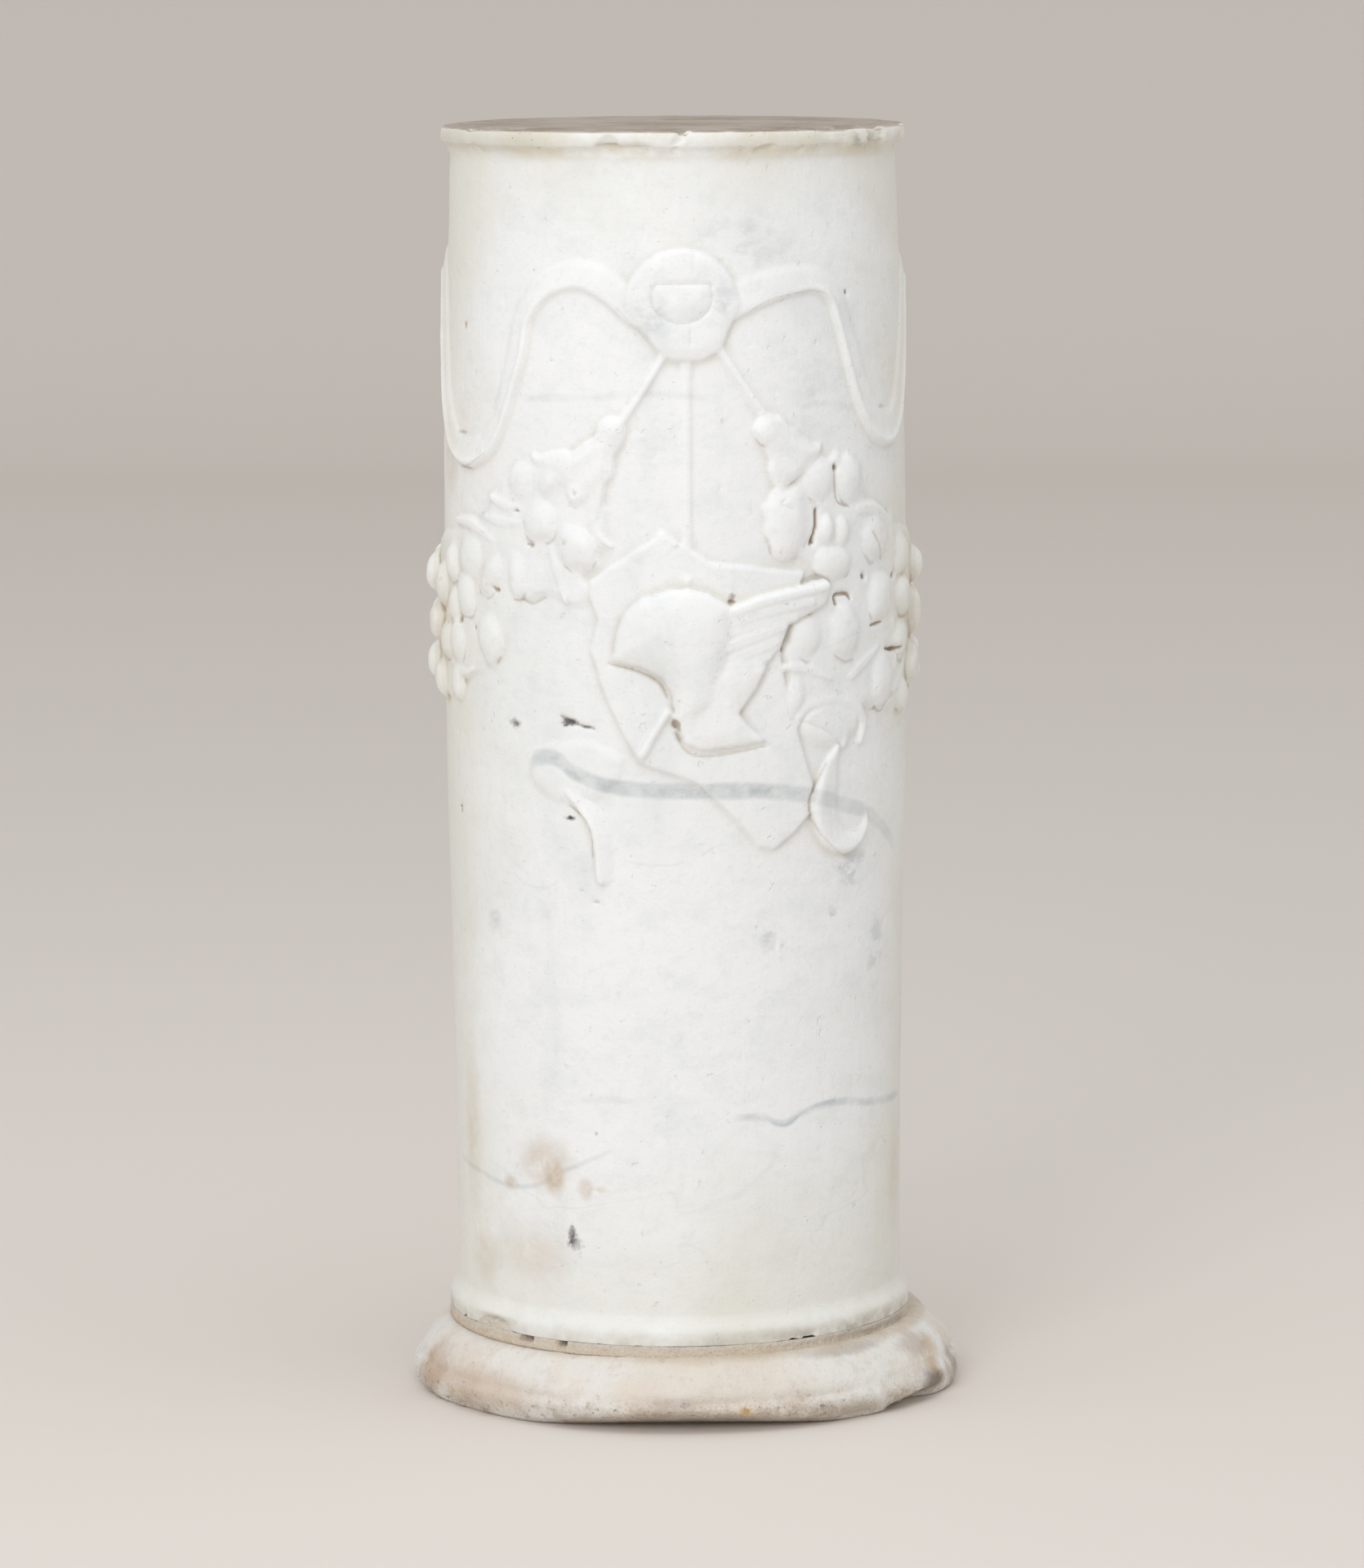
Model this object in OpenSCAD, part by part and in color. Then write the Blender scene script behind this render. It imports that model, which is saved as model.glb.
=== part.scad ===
// Carved marble column on a separate round base, with a mortar bed between them.
// Millimetres. Up is +Z. The front, with the winged helmet, faces -Y.
// The origin is the middle of the underside of the base.

/* [Overall] */
// Full height, from the underside of the base to the top face
total_h = 700; // [560:5:860]
// Radius of the shaft at its widest, about half way up
belly_r = 127.5; // [118:0.5:140]
// Radius of the neck, just under the top roll
neck_r = 122; // [108:0.5:127]
// Radius of the shaft just above the foot flare
ankle_r = 123.4; // [108:0.5:127]
// How far the shaft stands to the left of the middle of the base
shaft_shift = 4; // [0:0.5:8]

/* [Top roll and foot] */
// Radius of the rounded roll round the top edge
ring_r = 128; // [124:0.5:140]
// Height of the top roll
ring_h = 12; // [6:0.5:20]
// Radius of the flared foot of the shaft
foot_r = 129; // [125:0.5:140]
// Height of the straight edge of the foot
foot_h = 7.5; // [3:0.5:15]

/* [Base and joint] */
// Greatest radius of the base, at its lower band
base_r = 154; // [140:1:180]
// Height of the base
base_h = 39; // [28:0.5:60]
// Height of the lower band
band_h = 15; // [8:0.5:20]
// Radius of the top face of the base
seat_r = 131; // [129:0.5:136]
// Thickness of the mortar bed
joint_t = 4; // [2:0.5:8]
// Radius of the mortar bed
joint_r = 127.5; // [120:0.5:129]
// How far back the front edge of the underside is broken away
spall_in = 32; // [15:1:45]
// How high the broken edge reaches at the front
spall_h = 10.5; // [4:0.5:12.5]

/* [Relief heights] */
// How far the ribbons stand out from the shaft
ribbon_t = 3.5; // [2:0.5:6]
// How far the shield stands out
shield_t = 3; // [2:0.5:6]
// How far the round boss stands out
boss_t = 5; // [3:0.5:8]
// How far the flaring husks and flat leaves stand out
husk_t = 4.7; // [3:0.1:5.5]
// How far the neck guard of the helmet stands out
guard_t = 7; // [5:0.5:9]
// How far the long feathers of the wing stand out
wing_t = 9; // [6:0.5:12]
// How far the crown of the helmet stands out
crown_t = 11.5; // [8:0.5:14]
// How much bigger or smaller all the fruit is
fruit_size = 1; // [0.85:0.05:1.15]

/* [Relief layout] */
// Radius of the round boss
boss_r = 31; // [24:0.5:34]
// Height of the middle of the boss
boss_z = 608; // [560:1:640]
// Width of the cords that hang from the boss
cord_w = 5.5; // [3:0.5:9]

/* [Hidden] */
$fn = 48;
marble = [0.86, 0.85, 0.82];
marble_base = [0.82, 0.78, 0.72];
mortar = [0.62, 0.52, 0.41];
z0 = base_h + joint_t;
kz = total_h / 700;
cove_z = band_h + 4;
spall_angle = atan(spall_h / spall_in);
mid_r = belly_r + 2;
// height and radius up the plain shaft, for the swelling curve
swell_line = [
  [z0 + foot_h + 11.5, ankle_r], [175 * kz, ankle_r + 0.4],
  [225 * kz, ankle_r + 0.3 * (belly_r - ankle_r)], [275 * kz, ankle_r + 0.6 * (belly_r - ankle_r)],
  [330 * kz, belly_r - 0.4], [430 * kz, belly_r], [525 * kz, belly_r - 0.4],
  [585 * kz, neck_r + 0.7 * (belly_r - neck_r)], [635 * kz, neck_r + 0.2 * (belly_r - neck_r)],
  [total_h - ring_h - 7, neck_r]
];

function shaft_r_at(z) = lookup(z, swell_line);
// outline of a band from its middle line, [degrees, height, width] at each place
function tangent(p, i) =
  let (a = p[max(i - 1, 0)], b = p[min(i + 1, len(p) - 1)],
       dx = (b[0] - a[0]) * mid_r * PI / 180, dz = b[1] - a[1], l = norm([dx, dz]))
  [dx / l, dz / l];
function side(p, i, s) =
  let (t = tangent(p, i))
  [p[i][0] - s * t[1] * p[i][2] / 2 * 180 / PI / mid_r, p[i][1] + s * t[0] * p[i][2] / 2];
function band(p) = concat(
  [for (i = [0 : len(p) - 1]) side(p, i, 1)],
  [for (i = [len(p) - 1 : -1 : 0]) side(p, i, -1)]);
// the same outline on the other half of the shaft, turned about the side at s * 90
function behind(pts, s) = [for (p = pts) [s * 180 - p[0], p[1]]];

module about_shaft() { translate([-shaft_shift, 0, 0]) children(); }

// the shaft swollen by t, as a cutter for raised work
module swollen(t) {
  rotate_extrude($fn = 96)
    polygon(concat([[0, 80 * kz]], [[shaft_r_at(80 * kz) + t, 80 * kz]],
      [for (q = swell_line) if (q[0] > 81 * kz) [q[1] + t, q[0]]], [[0, total_h - ring_h - 7]]));
}
// straight prism through an outline given in degrees and heights, facing out at a
module prism(a, pts) {
  rotate([0, 0, a]) translate([0, -45, 0]) rotate([90, 0, 0]) linear_extrude(120)
    polygon([for (p = pts) [mid_r * sin(p[0] - a), p[1] * kz]]);
}
// frame on the face of the shaft: x to the right, y inward, z up
module on_shaft(a, z, out = 0) {
  rotate([0, 0, a]) translate([0, -shaft_r_at(z * kz) - out, z * kz]) children();
}
module ball(a, z, r, out) { on_shaft(a, z, out) sphere(r = r * fruit_size, $fn = 24); }
// longer fruit: two balls along a line that leans by tilt degrees
module oval(a, z, r, l, tilt, out) {
  for (s = l > 0 ? [-1, 1] : [0])
    ball(a + s * l * sin(tilt) * 180 / PI / mid_r, z + s * l * cos(tilt), r, out);
}

/* ribbons */
ribbon_left = [[-10, 612, 14], [-18, 620, 17], [-25, 624, 17], [-32, 621, 15], [-37, 611, 13],
  [-40.5, 597, 12], [-43, 578, 12], [-45.5, 555, 12.5], [-48.5, 535, 14]];
ribbon_left_dip = [[-45.5, 556, 11], [-48.5, 535, 13], [-54, 524.5, 16], [-60, 522.5, 16], [-66, 529, 15],
  [-71, 541, 14], [-75, 560, 13], [-78.5, 588, 13], [-83, 614, 13], [-90, 626, 14]];
ribbon_right = [[14, 609, 12], [22, 615, 15], [29, 619, 15], [36, 619, 14], [42, 613.5, 12], [45.5, 601, 11],
  [48, 583, 11], [51, 562, 12], [55, 543, 13]];
ribbon_right_dip = [[51, 562, 11], [55, 543, 13], [60, 532, 15], [65.5, 529, 15], [70.5, 534, 14],
  [75, 547, 13], [79, 567, 12], [83, 592, 13], [86, 610, 13], [90, 620, 14]];
tail_left = [[-16, 363, 24], [-27, 366, 19], [-34, 361, 14], [-38.5, 354, 8]];
tail_left_fold = [[-38, 353, 8], [-33, 346, 12], [-26.5, 338, 13], [-21, 328, 13], [-18, 314, 12], [-18, 299, 9]];
tail_right = [[43.5, 370, 9], [40, 356, 14], [38.5, 341, 17], [40, 328, 16], [45, 318, 13], [51, 318, 10],
  [55, 326, 7], [56, 334, 5]];

/* flat carved shapes, [degrees, height] */
shield_outline = [[-3, 487], [-21, 460], [-21, 450], [-19, 439], [-21, 422], [-16, 391], [-9, 362], [-5, 359],
  [4, 352], [15, 329], [20, 315], [24, 313], [29, 321], [35, 332], [35, 348], [31, 375], [28, 398], [26, 420],
  [27, 440], [33, 463], [8, 471]];
back_shield = [[156, 470], [156, 400], [163, 358], [180, 318], [197, 358], [204, 400], [204, 470], [180, 480]];
cabochon = [[-5, 618], [-3, 621], [7, 621], [9, 618], [9, 608], [7, 600], [2, 596], [-3, 600], [-5, 608]];
dome = [[-14, 417], [-14, 431], [-12, 443], [-8, 452], [-2, 457], [3, 458], [8, 455], [13, 447], [13, 430],
  [10, 409], [8, 392], [5, 384], [-1, 385], [-1, 400], [-2, 407], [-7, 413]];
guard = [[-1, 385], [2, 375], [5, 370], [12, 371], [21, 375], [17, 382], [15, 392], [20, 403], [24, 414],
  [27, 425], [28, 437], [13, 447], [8, 420]];
strap = [[-2, 388, 5], [-5, 376, 5], [-9, 362, 6]];
husk_left = [[-17, 545], [-12, 543], [-12.5, 536], [-14, 526], [-16.5, 508], [-22, 503], [-31, 513], [-36, 521],
  [-36, 527], [-25, 530], [-20, 537]];
husk_right = [[19, 541], [26, 547], [30, 539], [34, 532], [38, 533], [38, 527], [35, 517], [28, 507], [23, 509]];
leaf_left = [[-17, 510], [-14.5, 500], [-15.5, 492], [-11, 480], [-15, 479], [-20, 487], [-21, 501]];
leaf_right = [[47, 494, 8], [52, 493, 9], [58, 488, 9], [63, 478, 9], [67, 465, 9], [70, 452, 9]];
drape = [[-36, 466], [-31, 468], [-27, 458], [-25, 447], [-21, 440], [-30, 446], [-38, 444]];

// fruit of one swag: [degrees, height, radius, half length, tilt, depth of the middle]
swag_left = [
  [-40.5, 511, 9, 0, 0, -2], [-31.5, 511, 6.5, 3.5, -45, 1], [-24, 507, 8, 0, 0, -1], [-32.5, 493, 12, 0, 0, -3],
  [-23, 477, 12.5, 0, 0, -2.5], [-45, 489, 10, 0, 0, -3], [-57.5, 475, 10.5, 0, 0, -3], [-47.5, 464, 7.5, 5, -30, -0.5],
  [-38.5, 461, 8, 5.5, 0, -1], [-57, 445, 8.5, 5, 0, -0.5], [-67, 465, 10.5, 0, 0, -1.5], [-75, 452, 10.5, 0, 0, -1],
  [-66, 440, 9.5, 0, 0, -1.5], [-50, 424, 8.5, 5.5, 8, -1.5], [-61, 419, 9.5, 0, 0, -1.5], [-71, 421, 11, 0, 0, -1.5],
  [-82, 430, 11.5, 0, 0, -1.5], [-89, 453, 11, 0, 0, -2.5], [-68, 397, 8.5, 0, 0, -1], [-79, 397, 10.5, 0, 0, -2],
  [-89, 405, 11, 0, 0, -2.5]];
swag_right = [
  [27, 489, 13, 0, 0, -2], [27.3, 503, 9.5, 0, 0, -1], [35, 511, 7, 5.5, 33, -0.2], [46, 514, 11.5, 0, 0, -3],
  [38, 487, 7, 4, 0, 0.3], [44.5, 488, 9, 0, 0, -1.5], [41, 467, 10.5, 0, 0, -1.7], [52, 473, 12, 0, 0, -4],
  [60, 447, 10, 4.5, 0, -0.5], [45, 431, 11.5, 4.5, 0, -2], [53, 453, 9, 0, 0, -2], [73, 443, 13, 0, 0, -2],
  [84, 432, 12, 0, 0, -1.5], [70, 466, 12, 0, 0, -3.5], [81, 404, 13, 0, 0, -2], [60, 400, 10, 5.5, 0, -1.2],
  [70, 421, 11, 0, 0, -2.5], [33, 424, 8.5, 4.5, 0, -2], [31, 399, 10, 0, 0, -3.5], [89, 457, 12, 0, 0, -3.5],
  [71, 388, 9, 0, 0, -2]];

module swag(list, s, back) {
  for (f = list)
    if (!(back && abs(f[0]) > 88))
      oval(back ? s * 180 - f[0] : f[0], f[1], f[2], f[3], back ? -f[4] : f[4], f[5]);
}

// a carved shape, and its twin on the back half, turned about the side at s * 90
module twice(a, pts, s) {
  prism(a, pts);
  prism(s * 180 - a, behind(pts, s));
}

module ribbons() {
  intersection() {
    union() {
      twice(-29, band(ribbon_left), -1);
      twice(-68, band(ribbon_left_dip), -1);
      twice(34, band(ribbon_right), 1);
      twice(70, band(ribbon_right_dip), 1);
      prism(-28, band(tail_left));
      prism(-28, band(tail_left_fold));
      prism(46, band(tail_right));
    }
    swollen(ribbon_t);
  }
}

module cords() {
  intersection() {
    union() {
      twice(2, band([[2, boss_z - 26, cord_w], [2.7, 463, cord_w]]), 1);
      twice(-8, band([[-1, boss_z - 26, cord_w], [-14, 543, cord_w]]), -1);
      twice(16, band([[10, boss_z - 24, cord_w], [22.5, 545, cord_w]]), 1);
    }
    swollen(2);
  }
}

module boss() {
  intersection() {
    for (a = [2, 178])
      on_shaft(a, boss_z) rotate([90, 0, 0]) cylinder(r = boss_r, h = 40, center = true, $fn = 64);
    swollen(boss_t);
  }
  intersection() {
    union() {
      twice(2, cabochon, 1);
      twice(2, [[-2, 619], [-2, 636], [5, 636], [5, 619]], 1);
    }
    swollen(boss_t + 2.5);
  }
}

module husks() {
  intersection() {
    union() {
      twice(-23, husk_left, -1);
      twice(28, husk_right, 1);
      twice(-16, leaf_left, -1);
      twice(58, band(leaf_right), 1);
      twice(-29, drape, -1);
    }
    swollen(husk_t);
  }
  for (a = [-15, -165]) ball(a, 540, 6, 2);
  for (a = [23, 157]) ball(a, 541, 7, 2);
}

module helmet() {
  intersection() {
    prism(0, dome);
    on_shaft(-1, 428, crown_t - 92) sphere(r = 92, $fn = 96);
  }
  intersection() {
    union() { prism(13, guard); prism(-5, band(strap)); }
    swollen(guard_t);
  }
  // four long feathers, the upper ones longest
  for (i = [0 : 3])
    intersection() {
      prism(24, band([[12, 443 - 7.5 * i, 7], [24 - i, 451 - 10 * i, 9], [36.5 - 3.2 * i, 458 - 10 * i, 9]]));
      swollen(wing_t - 0.7 * i);
    }
}

module scroll() {
  intersection() {
    difference() {
      on_shaft(43, 381) rotate([90, 0, 0]) cylinder(r = 18, h = 40, center = true, $fn = 48);
      on_shaft(43, 381) rotate([90, 0, 0]) cylinder(r = 11, h = 40, center = true, $fn = 48);
    }
    swollen(husk_t);
  }
  ball(43, 381, 6.5, 1);
}

module shaft_body() {
  rotate_extrude($fn = 96)
    polygon(concat(
      [[0, z0], [foot_r, z0], [foot_r, z0 + foot_h], [foot_r - 1, z0 + foot_h + 2.5],
       [ankle_r + 1.2, z0 + foot_h + 6]],
      [for (q = swell_line) [q[1], q[0]]],
      [[neck_r + 0.8, total_h - ring_h - 2.5], [ring_r - 2.5, total_h - ring_h], [ring_r - 0.5, total_h - ring_h + 2],
       [ring_r, total_h - ring_h * 0.55], [ring_r - 0.5, total_h - 3], [ring_r - 2, total_h - 1], [ring_r - 4, total_h],
       [0, total_h]]));
}

module shaft() {
  color(marble) about_shaft() union() {
    union() {
      shaft_body();
      ribbons();
      cords();
      boss();
      intersection() {
        union() { prism(7, shield_outline); prism(180, back_shield); }
        swollen(shield_t);
      }
      husks();
      helmet();
      scroll();
    }
    union() { swag(swag_left, -1, false); swag(swag_left, -1, true); }
    union() { swag(swag_right, 1, false); swag(swag_right, 1, true); }
  }
}

module base() {
  color(marble_base) difference() {
    rotate_extrude($fn = 96)
      polygon([[0, 0], [base_r - 3, 0], [base_r - 0.6, 3], [base_r, 8], [base_r - 0.8, band_h - 2],
        [base_r - 3.7, band_h + 0.5], [base_r - 6.2, band_h + 1.5], [base_r - 6.7, cove_z],
        [base_r - 10.5, band_h + 0.42 * (base_h - band_h)], [base_r - 16, band_h + 0.7 * (base_h - band_h)],
        [seat_r + 2, base_h - 1], [seat_r, base_h], [0, base_h]]);
    // broken face under the front edge
    translate([0, spall_in - base_r, 0]) rotate([-spall_angle, 0, 0])
      translate([-base_r, -80, -80]) cube([2 * base_r, 80, 80]);
  }
}

module mortar_joint() {
  color(mortar) about_shaft() translate([0, 0, base_h]) cylinder(r = joint_r, h = joint_t, $fn = 96);
}

shaft();
base();
mortar_joint();
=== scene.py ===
"""Carved marble column on a round base: the worn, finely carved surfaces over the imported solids."""
import math
import bpy
import numpy as np
from mathutils import Matrix, Vector


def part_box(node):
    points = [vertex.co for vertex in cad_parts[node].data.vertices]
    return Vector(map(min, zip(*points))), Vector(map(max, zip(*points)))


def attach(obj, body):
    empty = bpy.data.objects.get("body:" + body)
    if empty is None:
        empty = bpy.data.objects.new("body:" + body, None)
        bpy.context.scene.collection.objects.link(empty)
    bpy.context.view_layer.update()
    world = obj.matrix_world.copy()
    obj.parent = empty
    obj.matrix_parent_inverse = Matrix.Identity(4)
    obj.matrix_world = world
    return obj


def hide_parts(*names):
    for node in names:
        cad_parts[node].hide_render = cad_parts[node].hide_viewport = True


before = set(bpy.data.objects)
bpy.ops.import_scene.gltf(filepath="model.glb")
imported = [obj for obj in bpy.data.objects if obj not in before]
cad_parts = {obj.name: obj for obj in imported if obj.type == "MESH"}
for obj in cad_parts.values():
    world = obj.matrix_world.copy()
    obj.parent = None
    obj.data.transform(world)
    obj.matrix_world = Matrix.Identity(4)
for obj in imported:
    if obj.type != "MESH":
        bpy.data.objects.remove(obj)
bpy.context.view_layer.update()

MM = 0.001

# -------- sizes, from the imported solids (mm)
def node_box(name):
    lo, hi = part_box(name)
    return np.array(lo) / MM, np.array(hi) / MM

S_LO, S_HI = node_box("shaft")
B_LO, B_HI = node_box("base")
J_LO, J_HI = node_box("mortar_joint")
SX, SY = (J_LO[0] + J_HI[0]) / 2, (J_LO[1] + J_HI[1]) / 2  # axis of the shaft
BX, BY = (B_LO[0] + B_HI[0]) / 2, SY  # axis of the base
BASE_R, BASE_H = (B_HI[0] - B_LO[0]) / 2, B_HI[2]
Z0, TOP = S_LO[2], S_HI[2]
KZ = TOP / 700  # the carving's heights are for 700 mm
BELLY, NECK, ANKLE, RING, FOOT = 127.5, 122, 123.4, 128, 129  # radii of the drum, the roll, the foot
RING_H, FOOT_H = 12, 7.5
SHAFT_TRIS, BASE_TRIS = ((194000, 130000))
DEG = (BELLY + 2) * math.pi / 180  # mm along the face for a degree
OUTSIDE = -99  # a height that loses to every other


# -------- numeric helpers
def smooth(x, a, b):
    """0 before a, 1 past b, and a soft step between."""
    t = np.clip((x - a) / (b - a), 0, 1)
    return t * t * (3 - 2 * t)


def noise(x, y, z, seed=0):
    """Smooth value noise in -1..1 at points given in lattice steps."""
    rng = np.random.default_rng(seed)
    perm = rng.permutation(256)
    val = rng.uniform(-1, 1, 256)
    xi, yi, zi = (np.floor(v).astype(int) for v in (x, y, z))
    fx, fy, fz = x - xi, y - yi, z - zi
    fx, fy, fz = (f * f * (3 - 2 * f) for f in (fx, fy, fz))
    out = 0
    for dx in (0, 1):
        for dy in (0, 1):
            for dz in (0, 1):
                h = perm[(perm[(perm[(xi + dx) & 255] + yi + dy) & 255] + zi + dz) & 255]
                out = out + (fx if dx else 1 - fx) * (fy if dy else 1 - fy) * (fz if dz else 1 - fz) * val[h]
    return out


def smooth_max(a, b, k):
    """The greater of two surfaces, with a fillet of about k where they meet."""
    h = np.clip(k - np.abs(a - b), 0, None) / k
    return np.maximum(a, b) + h * h * k / 4


def fbm(x, y, z, size, octaves, seed):
    """Noise with lumps of this size in mm and finer ones on them."""
    out, a, total = 0, 1, 0
    for o in range(octaves):
        s = size / 2 ** o
        out = out + a * noise(x / s + 17.3 * o, y / s, z / s, seed + o)
        total += a
        a *= 0.5
    return out / total


def catmull(points, steps):
    """A smooth curve through the points."""
    p = np.array(points, float)
    q = np.vstack([2 * p[0] - p[1], p, 2 * p[-1] - p[-2]])
    out = []
    for i in range(1, len(q) - 2):
        for k in range(steps):
            t = k / steps
            out.append(0.5 * (2 * q[i] + (q[i + 1] - q[i - 1]) * t
                              + (2 * q[i - 1] - 5 * q[i] + 4 * q[i + 1] - q[i + 2]) * t * t
                              + (3 * q[i] - q[i - 1] - 3 * q[i + 1] + q[i + 2]) * t ** 3))
    out.append(p[-1])
    return np.array(out)


def blur(a, n, times=2):
    """Box blur of n cells each way, round the shaft and up it."""
    k = 2 * n + 1
    for _ in range(times):
        p = np.concatenate([a[:, -n:], a, a[:, :n]], 1)
        c = np.cumsum(np.concatenate([np.zeros((len(p), 1)), p], 1), 1)
        a = (c[:, k:] - c[:, :-k]) / k
        p = np.concatenate([a[:1].repeat(n, 0), a, a[-1:].repeat(n, 0)], 0)
        c = np.cumsum(np.concatenate([np.zeros((1, p.shape[1])), p], 0), 0)
        a = (c[k:] - c[:-k]) / k
    return a


# -------- carving on the unrolled shaft
class Field:
    """Heights above the plain shaft on a grid of degrees round it and millimetres up it."""

    def __init__(self, theta, z):
        T, self.Z = np.meshgrid(theta, z)
        self.H = np.zeros_like(T)
        self.D = np.zeros_like(T)               # how much dirt and painted shade a cut, an edge or a fruit's rim holds

    def window(self, T, t0, t1, z0, z1, pad):
        """The cells within these limits and a margin of pad mm, or None."""
        z0, z1 = z0 - pad, z1 + pad
        t0, t1 = t0 - pad / DEG, t1 + pad / DEG
        rows = np.where((self.Z[:, 0] > z0) & (self.Z[:, 0] < z1))[0]
        cols = np.where((T[0] > t0) & (T[0] < t1))[0]
        return np.ix_(rows, cols) if len(rows) and len(cols) else None

    def band(self, T, path, form, steps=6):
        """path: [degrees, height, width]. form(across -1..1, along 0..1) gives the height."""
        q = catmull(path, steps)
        ix = self.window(T, q[:, 0].min(), q[:, 0].max(), q[:, 1].min(), q[:, 1].max(), 14)
        if ix is None:
            return
        X, Z = T[ix] * DEG, self.Z[ix]
        best = np.full(X.shape, 1e9)
        across, along = np.zeros(X.shape), np.zeros(X.shape)
        P = np.stack([q[:, 0] * DEG, q[:, 1]], 1)
        n = len(P) - 1
        for i in range(n):
            a, d = P[i], P[i + 1] - P[i]
            L = math.hypot(*d)
            if L < 1e-6:
                continue
            t = np.clip(((X - a[0]) * d[0] + (Z - a[1]) * d[1]) / L ** 2, 0, 1)
            dx, dz = X - a[0] - t * d[0], Z - a[1] - t * d[1]
            dist = np.hypot(dx, dz)
            m = dist < best
            best = np.where(m, dist, best)
            width = q[i, 2] + (q[i + 1, 2] - q[i, 2]) * t
            side = np.sign(d[0] * dz - d[1] * dx)
            across = np.where(m, side * dist / (width / 2), across)
            along = np.where(m, (i + t) / n, along)
        h = np.where(np.abs(across) < 1.6, form(across, along), OUTSIDE)
        self.H[ix] = np.maximum(self.H[ix], h)

    def plate(self, T, outline, form, lump=0, seed=0):
        """outline: [degrees, height], uneven by lump mm. form(mm inside it, X, Z) gives the height."""
        p = np.array(outline, float)
        ix = self.window(T, p[:, 0].min(), p[:, 0].max(), p[:, 1].min(), p[:, 1].max(), 6)
        if ix is None:
            return
        X, Z = T[ix] * DEG, self.Z[ix]
        sd = self.inside(X, Z, p)
        if lump:
            sd = sd + lump * noise(X / 7, Z / 7, X * 0, seed)
        self.H[ix] = np.maximum(self.H[ix], form(sd, X, Z))

    @staticmethod
    def inside(X, Z, p):
        """Distance to an outline, negative outside it."""
        P = np.stack([p[:, 0] * DEG, p[:, 1]], 1)
        best = np.full(X.shape, 1e9)
        odd = np.zeros(X.shape, bool)
        for i in range(len(P)):
            a, b = P[i], P[(i + 1) % len(P)]
            d = b - a
            t = np.clip(((X - a[0]) * d[0] + (Z - a[1]) * d[1]) / (d @ d), 0, 1)
            best = np.minimum(best, np.hypot(X - a[0] - t * d[0], Z - a[1] - t * d[1]))
            if a[1] != b[1]:
                left = X < (b[0] - a[0]) * (Z - a[1]) / (b[1] - a[1]) + a[0]
                odd ^= ((a[1] > Z) != (b[1] > Z)) & left
        return np.where(odd, best, -best)

    def oval(self, T, t, z, rx, rz, lean, reach, lump, size, seed):
        """The cells and offsets about a leaning oval, and their distance, 1 at its uneven edge."""
        ix = self.window(T, t - reach / DEG, t + reach / DEG, z - reach, z + reach, 2)
        if ix is None:
            return None
        X, Z = (T[ix] - t) * DEG, self.Z[ix] - z
        s, c = math.sin(math.radians(lean)), math.cos(math.radians(lean))
        d = np.hypot((X * c - Z * s) / rx, (X * s + Z * c) / rz)
        return ix, X, Z, d * (1 + lump * noise(X / size + t, Z / size + z, X * 0, seed))

    def fruit(self, T, t, z, rx, rz, top, lean=0):
        """A worn, rounded fruit or knob, with dirt and painted shade round its edge, most below it."""
        cells = self.oval(T, t, z, rx, rz, lean, max(rx, rz) * 1.15, 0.13, 8, 13)
        if cells is None:
            return
        ix, X, Z, d = cells
        h = np.where(d < 1, top * np.clip(1 - d ** 2.4, 0, 1) ** 0.62, OUTSIDE)
        # painted shade and dirt round the fruit's edge, strongest along its lower side
        dirt_and_shade_rim = np.exp(-((d - 1) / 0.09) ** 2) * (0.18 + 0.5 * smooth(-Z / rz, 0.1, 0.8))
        dirt_and_shade_rim = dirt_and_shade_rim * smooth(noise(X / 6 + z, Z / 6 + t, X * 0, 19), -0.4, 0.3)
        self.D[ix] = np.maximum(self.D[ix] * (1 - 0.8 * (d < 0.88)), dirt_and_shade_rim)
        self.H[ix] = smooth_max(self.H[ix], h, 1.1)

    def cut(self, T, t, z, rx, rz, depth, tilt=0, soft=0.45):
        """A drilled or worn hollow."""
        cells = self.oval(T, t, z, rx, rz, tilt, max(rx, rz), 0.45, 1.9, 17)
        if cells is None:
            return
        ix, _, _, d = cells
        hollow = 1 - smooth(d, soft, 1)
        self.H[ix] -= depth * hollow
        # painted shade in the hollow, with its dirt
        self.D[ix] = np.maximum(self.D[ix], hollow * min(1, depth / 2.5))

    def alone(self, T, path, form):
        """A band's heights on an empty field."""
        keep, self.H = self.H, np.full_like(self.H, OUTSIDE)
        self.band(T, path, form, 5)
        line, self.H = self.H, keep
        return line

    def groove(self, T, path, depth):
        """A cut line."""
        g = self.alone(T, path, lambda u, v: depth * (1 - smooth(np.abs(u), 0.2, 1)))
        g = np.maximum(g, 0)
        self.H = self.H - g
        # painted shade along the cut, with its dirt
        self.D = np.maximum(self.D, np.minimum(g / 3.2, 1))

    def dirt_and_shade_line(self, T, path, amount):
        """Dirt and painted shade along a line, with no cut."""
        def form(u, v):
            return amount * (1 - smooth(np.abs(u), 0.1, 1)) * smooth(np.minimum(v, 1 - v), 0, 0.15)
        self.D = np.maximum(self.D, self.alone(T, path, form))


# -------- the design: degrees round (front 0), mm up
def arc(t, z, rx, rz, a0, a1, n=14):
    """Points on an oval, radii in mm; angles in degrees from the right, anticlockwise."""
    return [[t + rx / DEG * math.cos(math.radians(a)), z + rz * math.sin(math.radians(a))]
            for a in np.linspace(a0, a1, n)]


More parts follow.
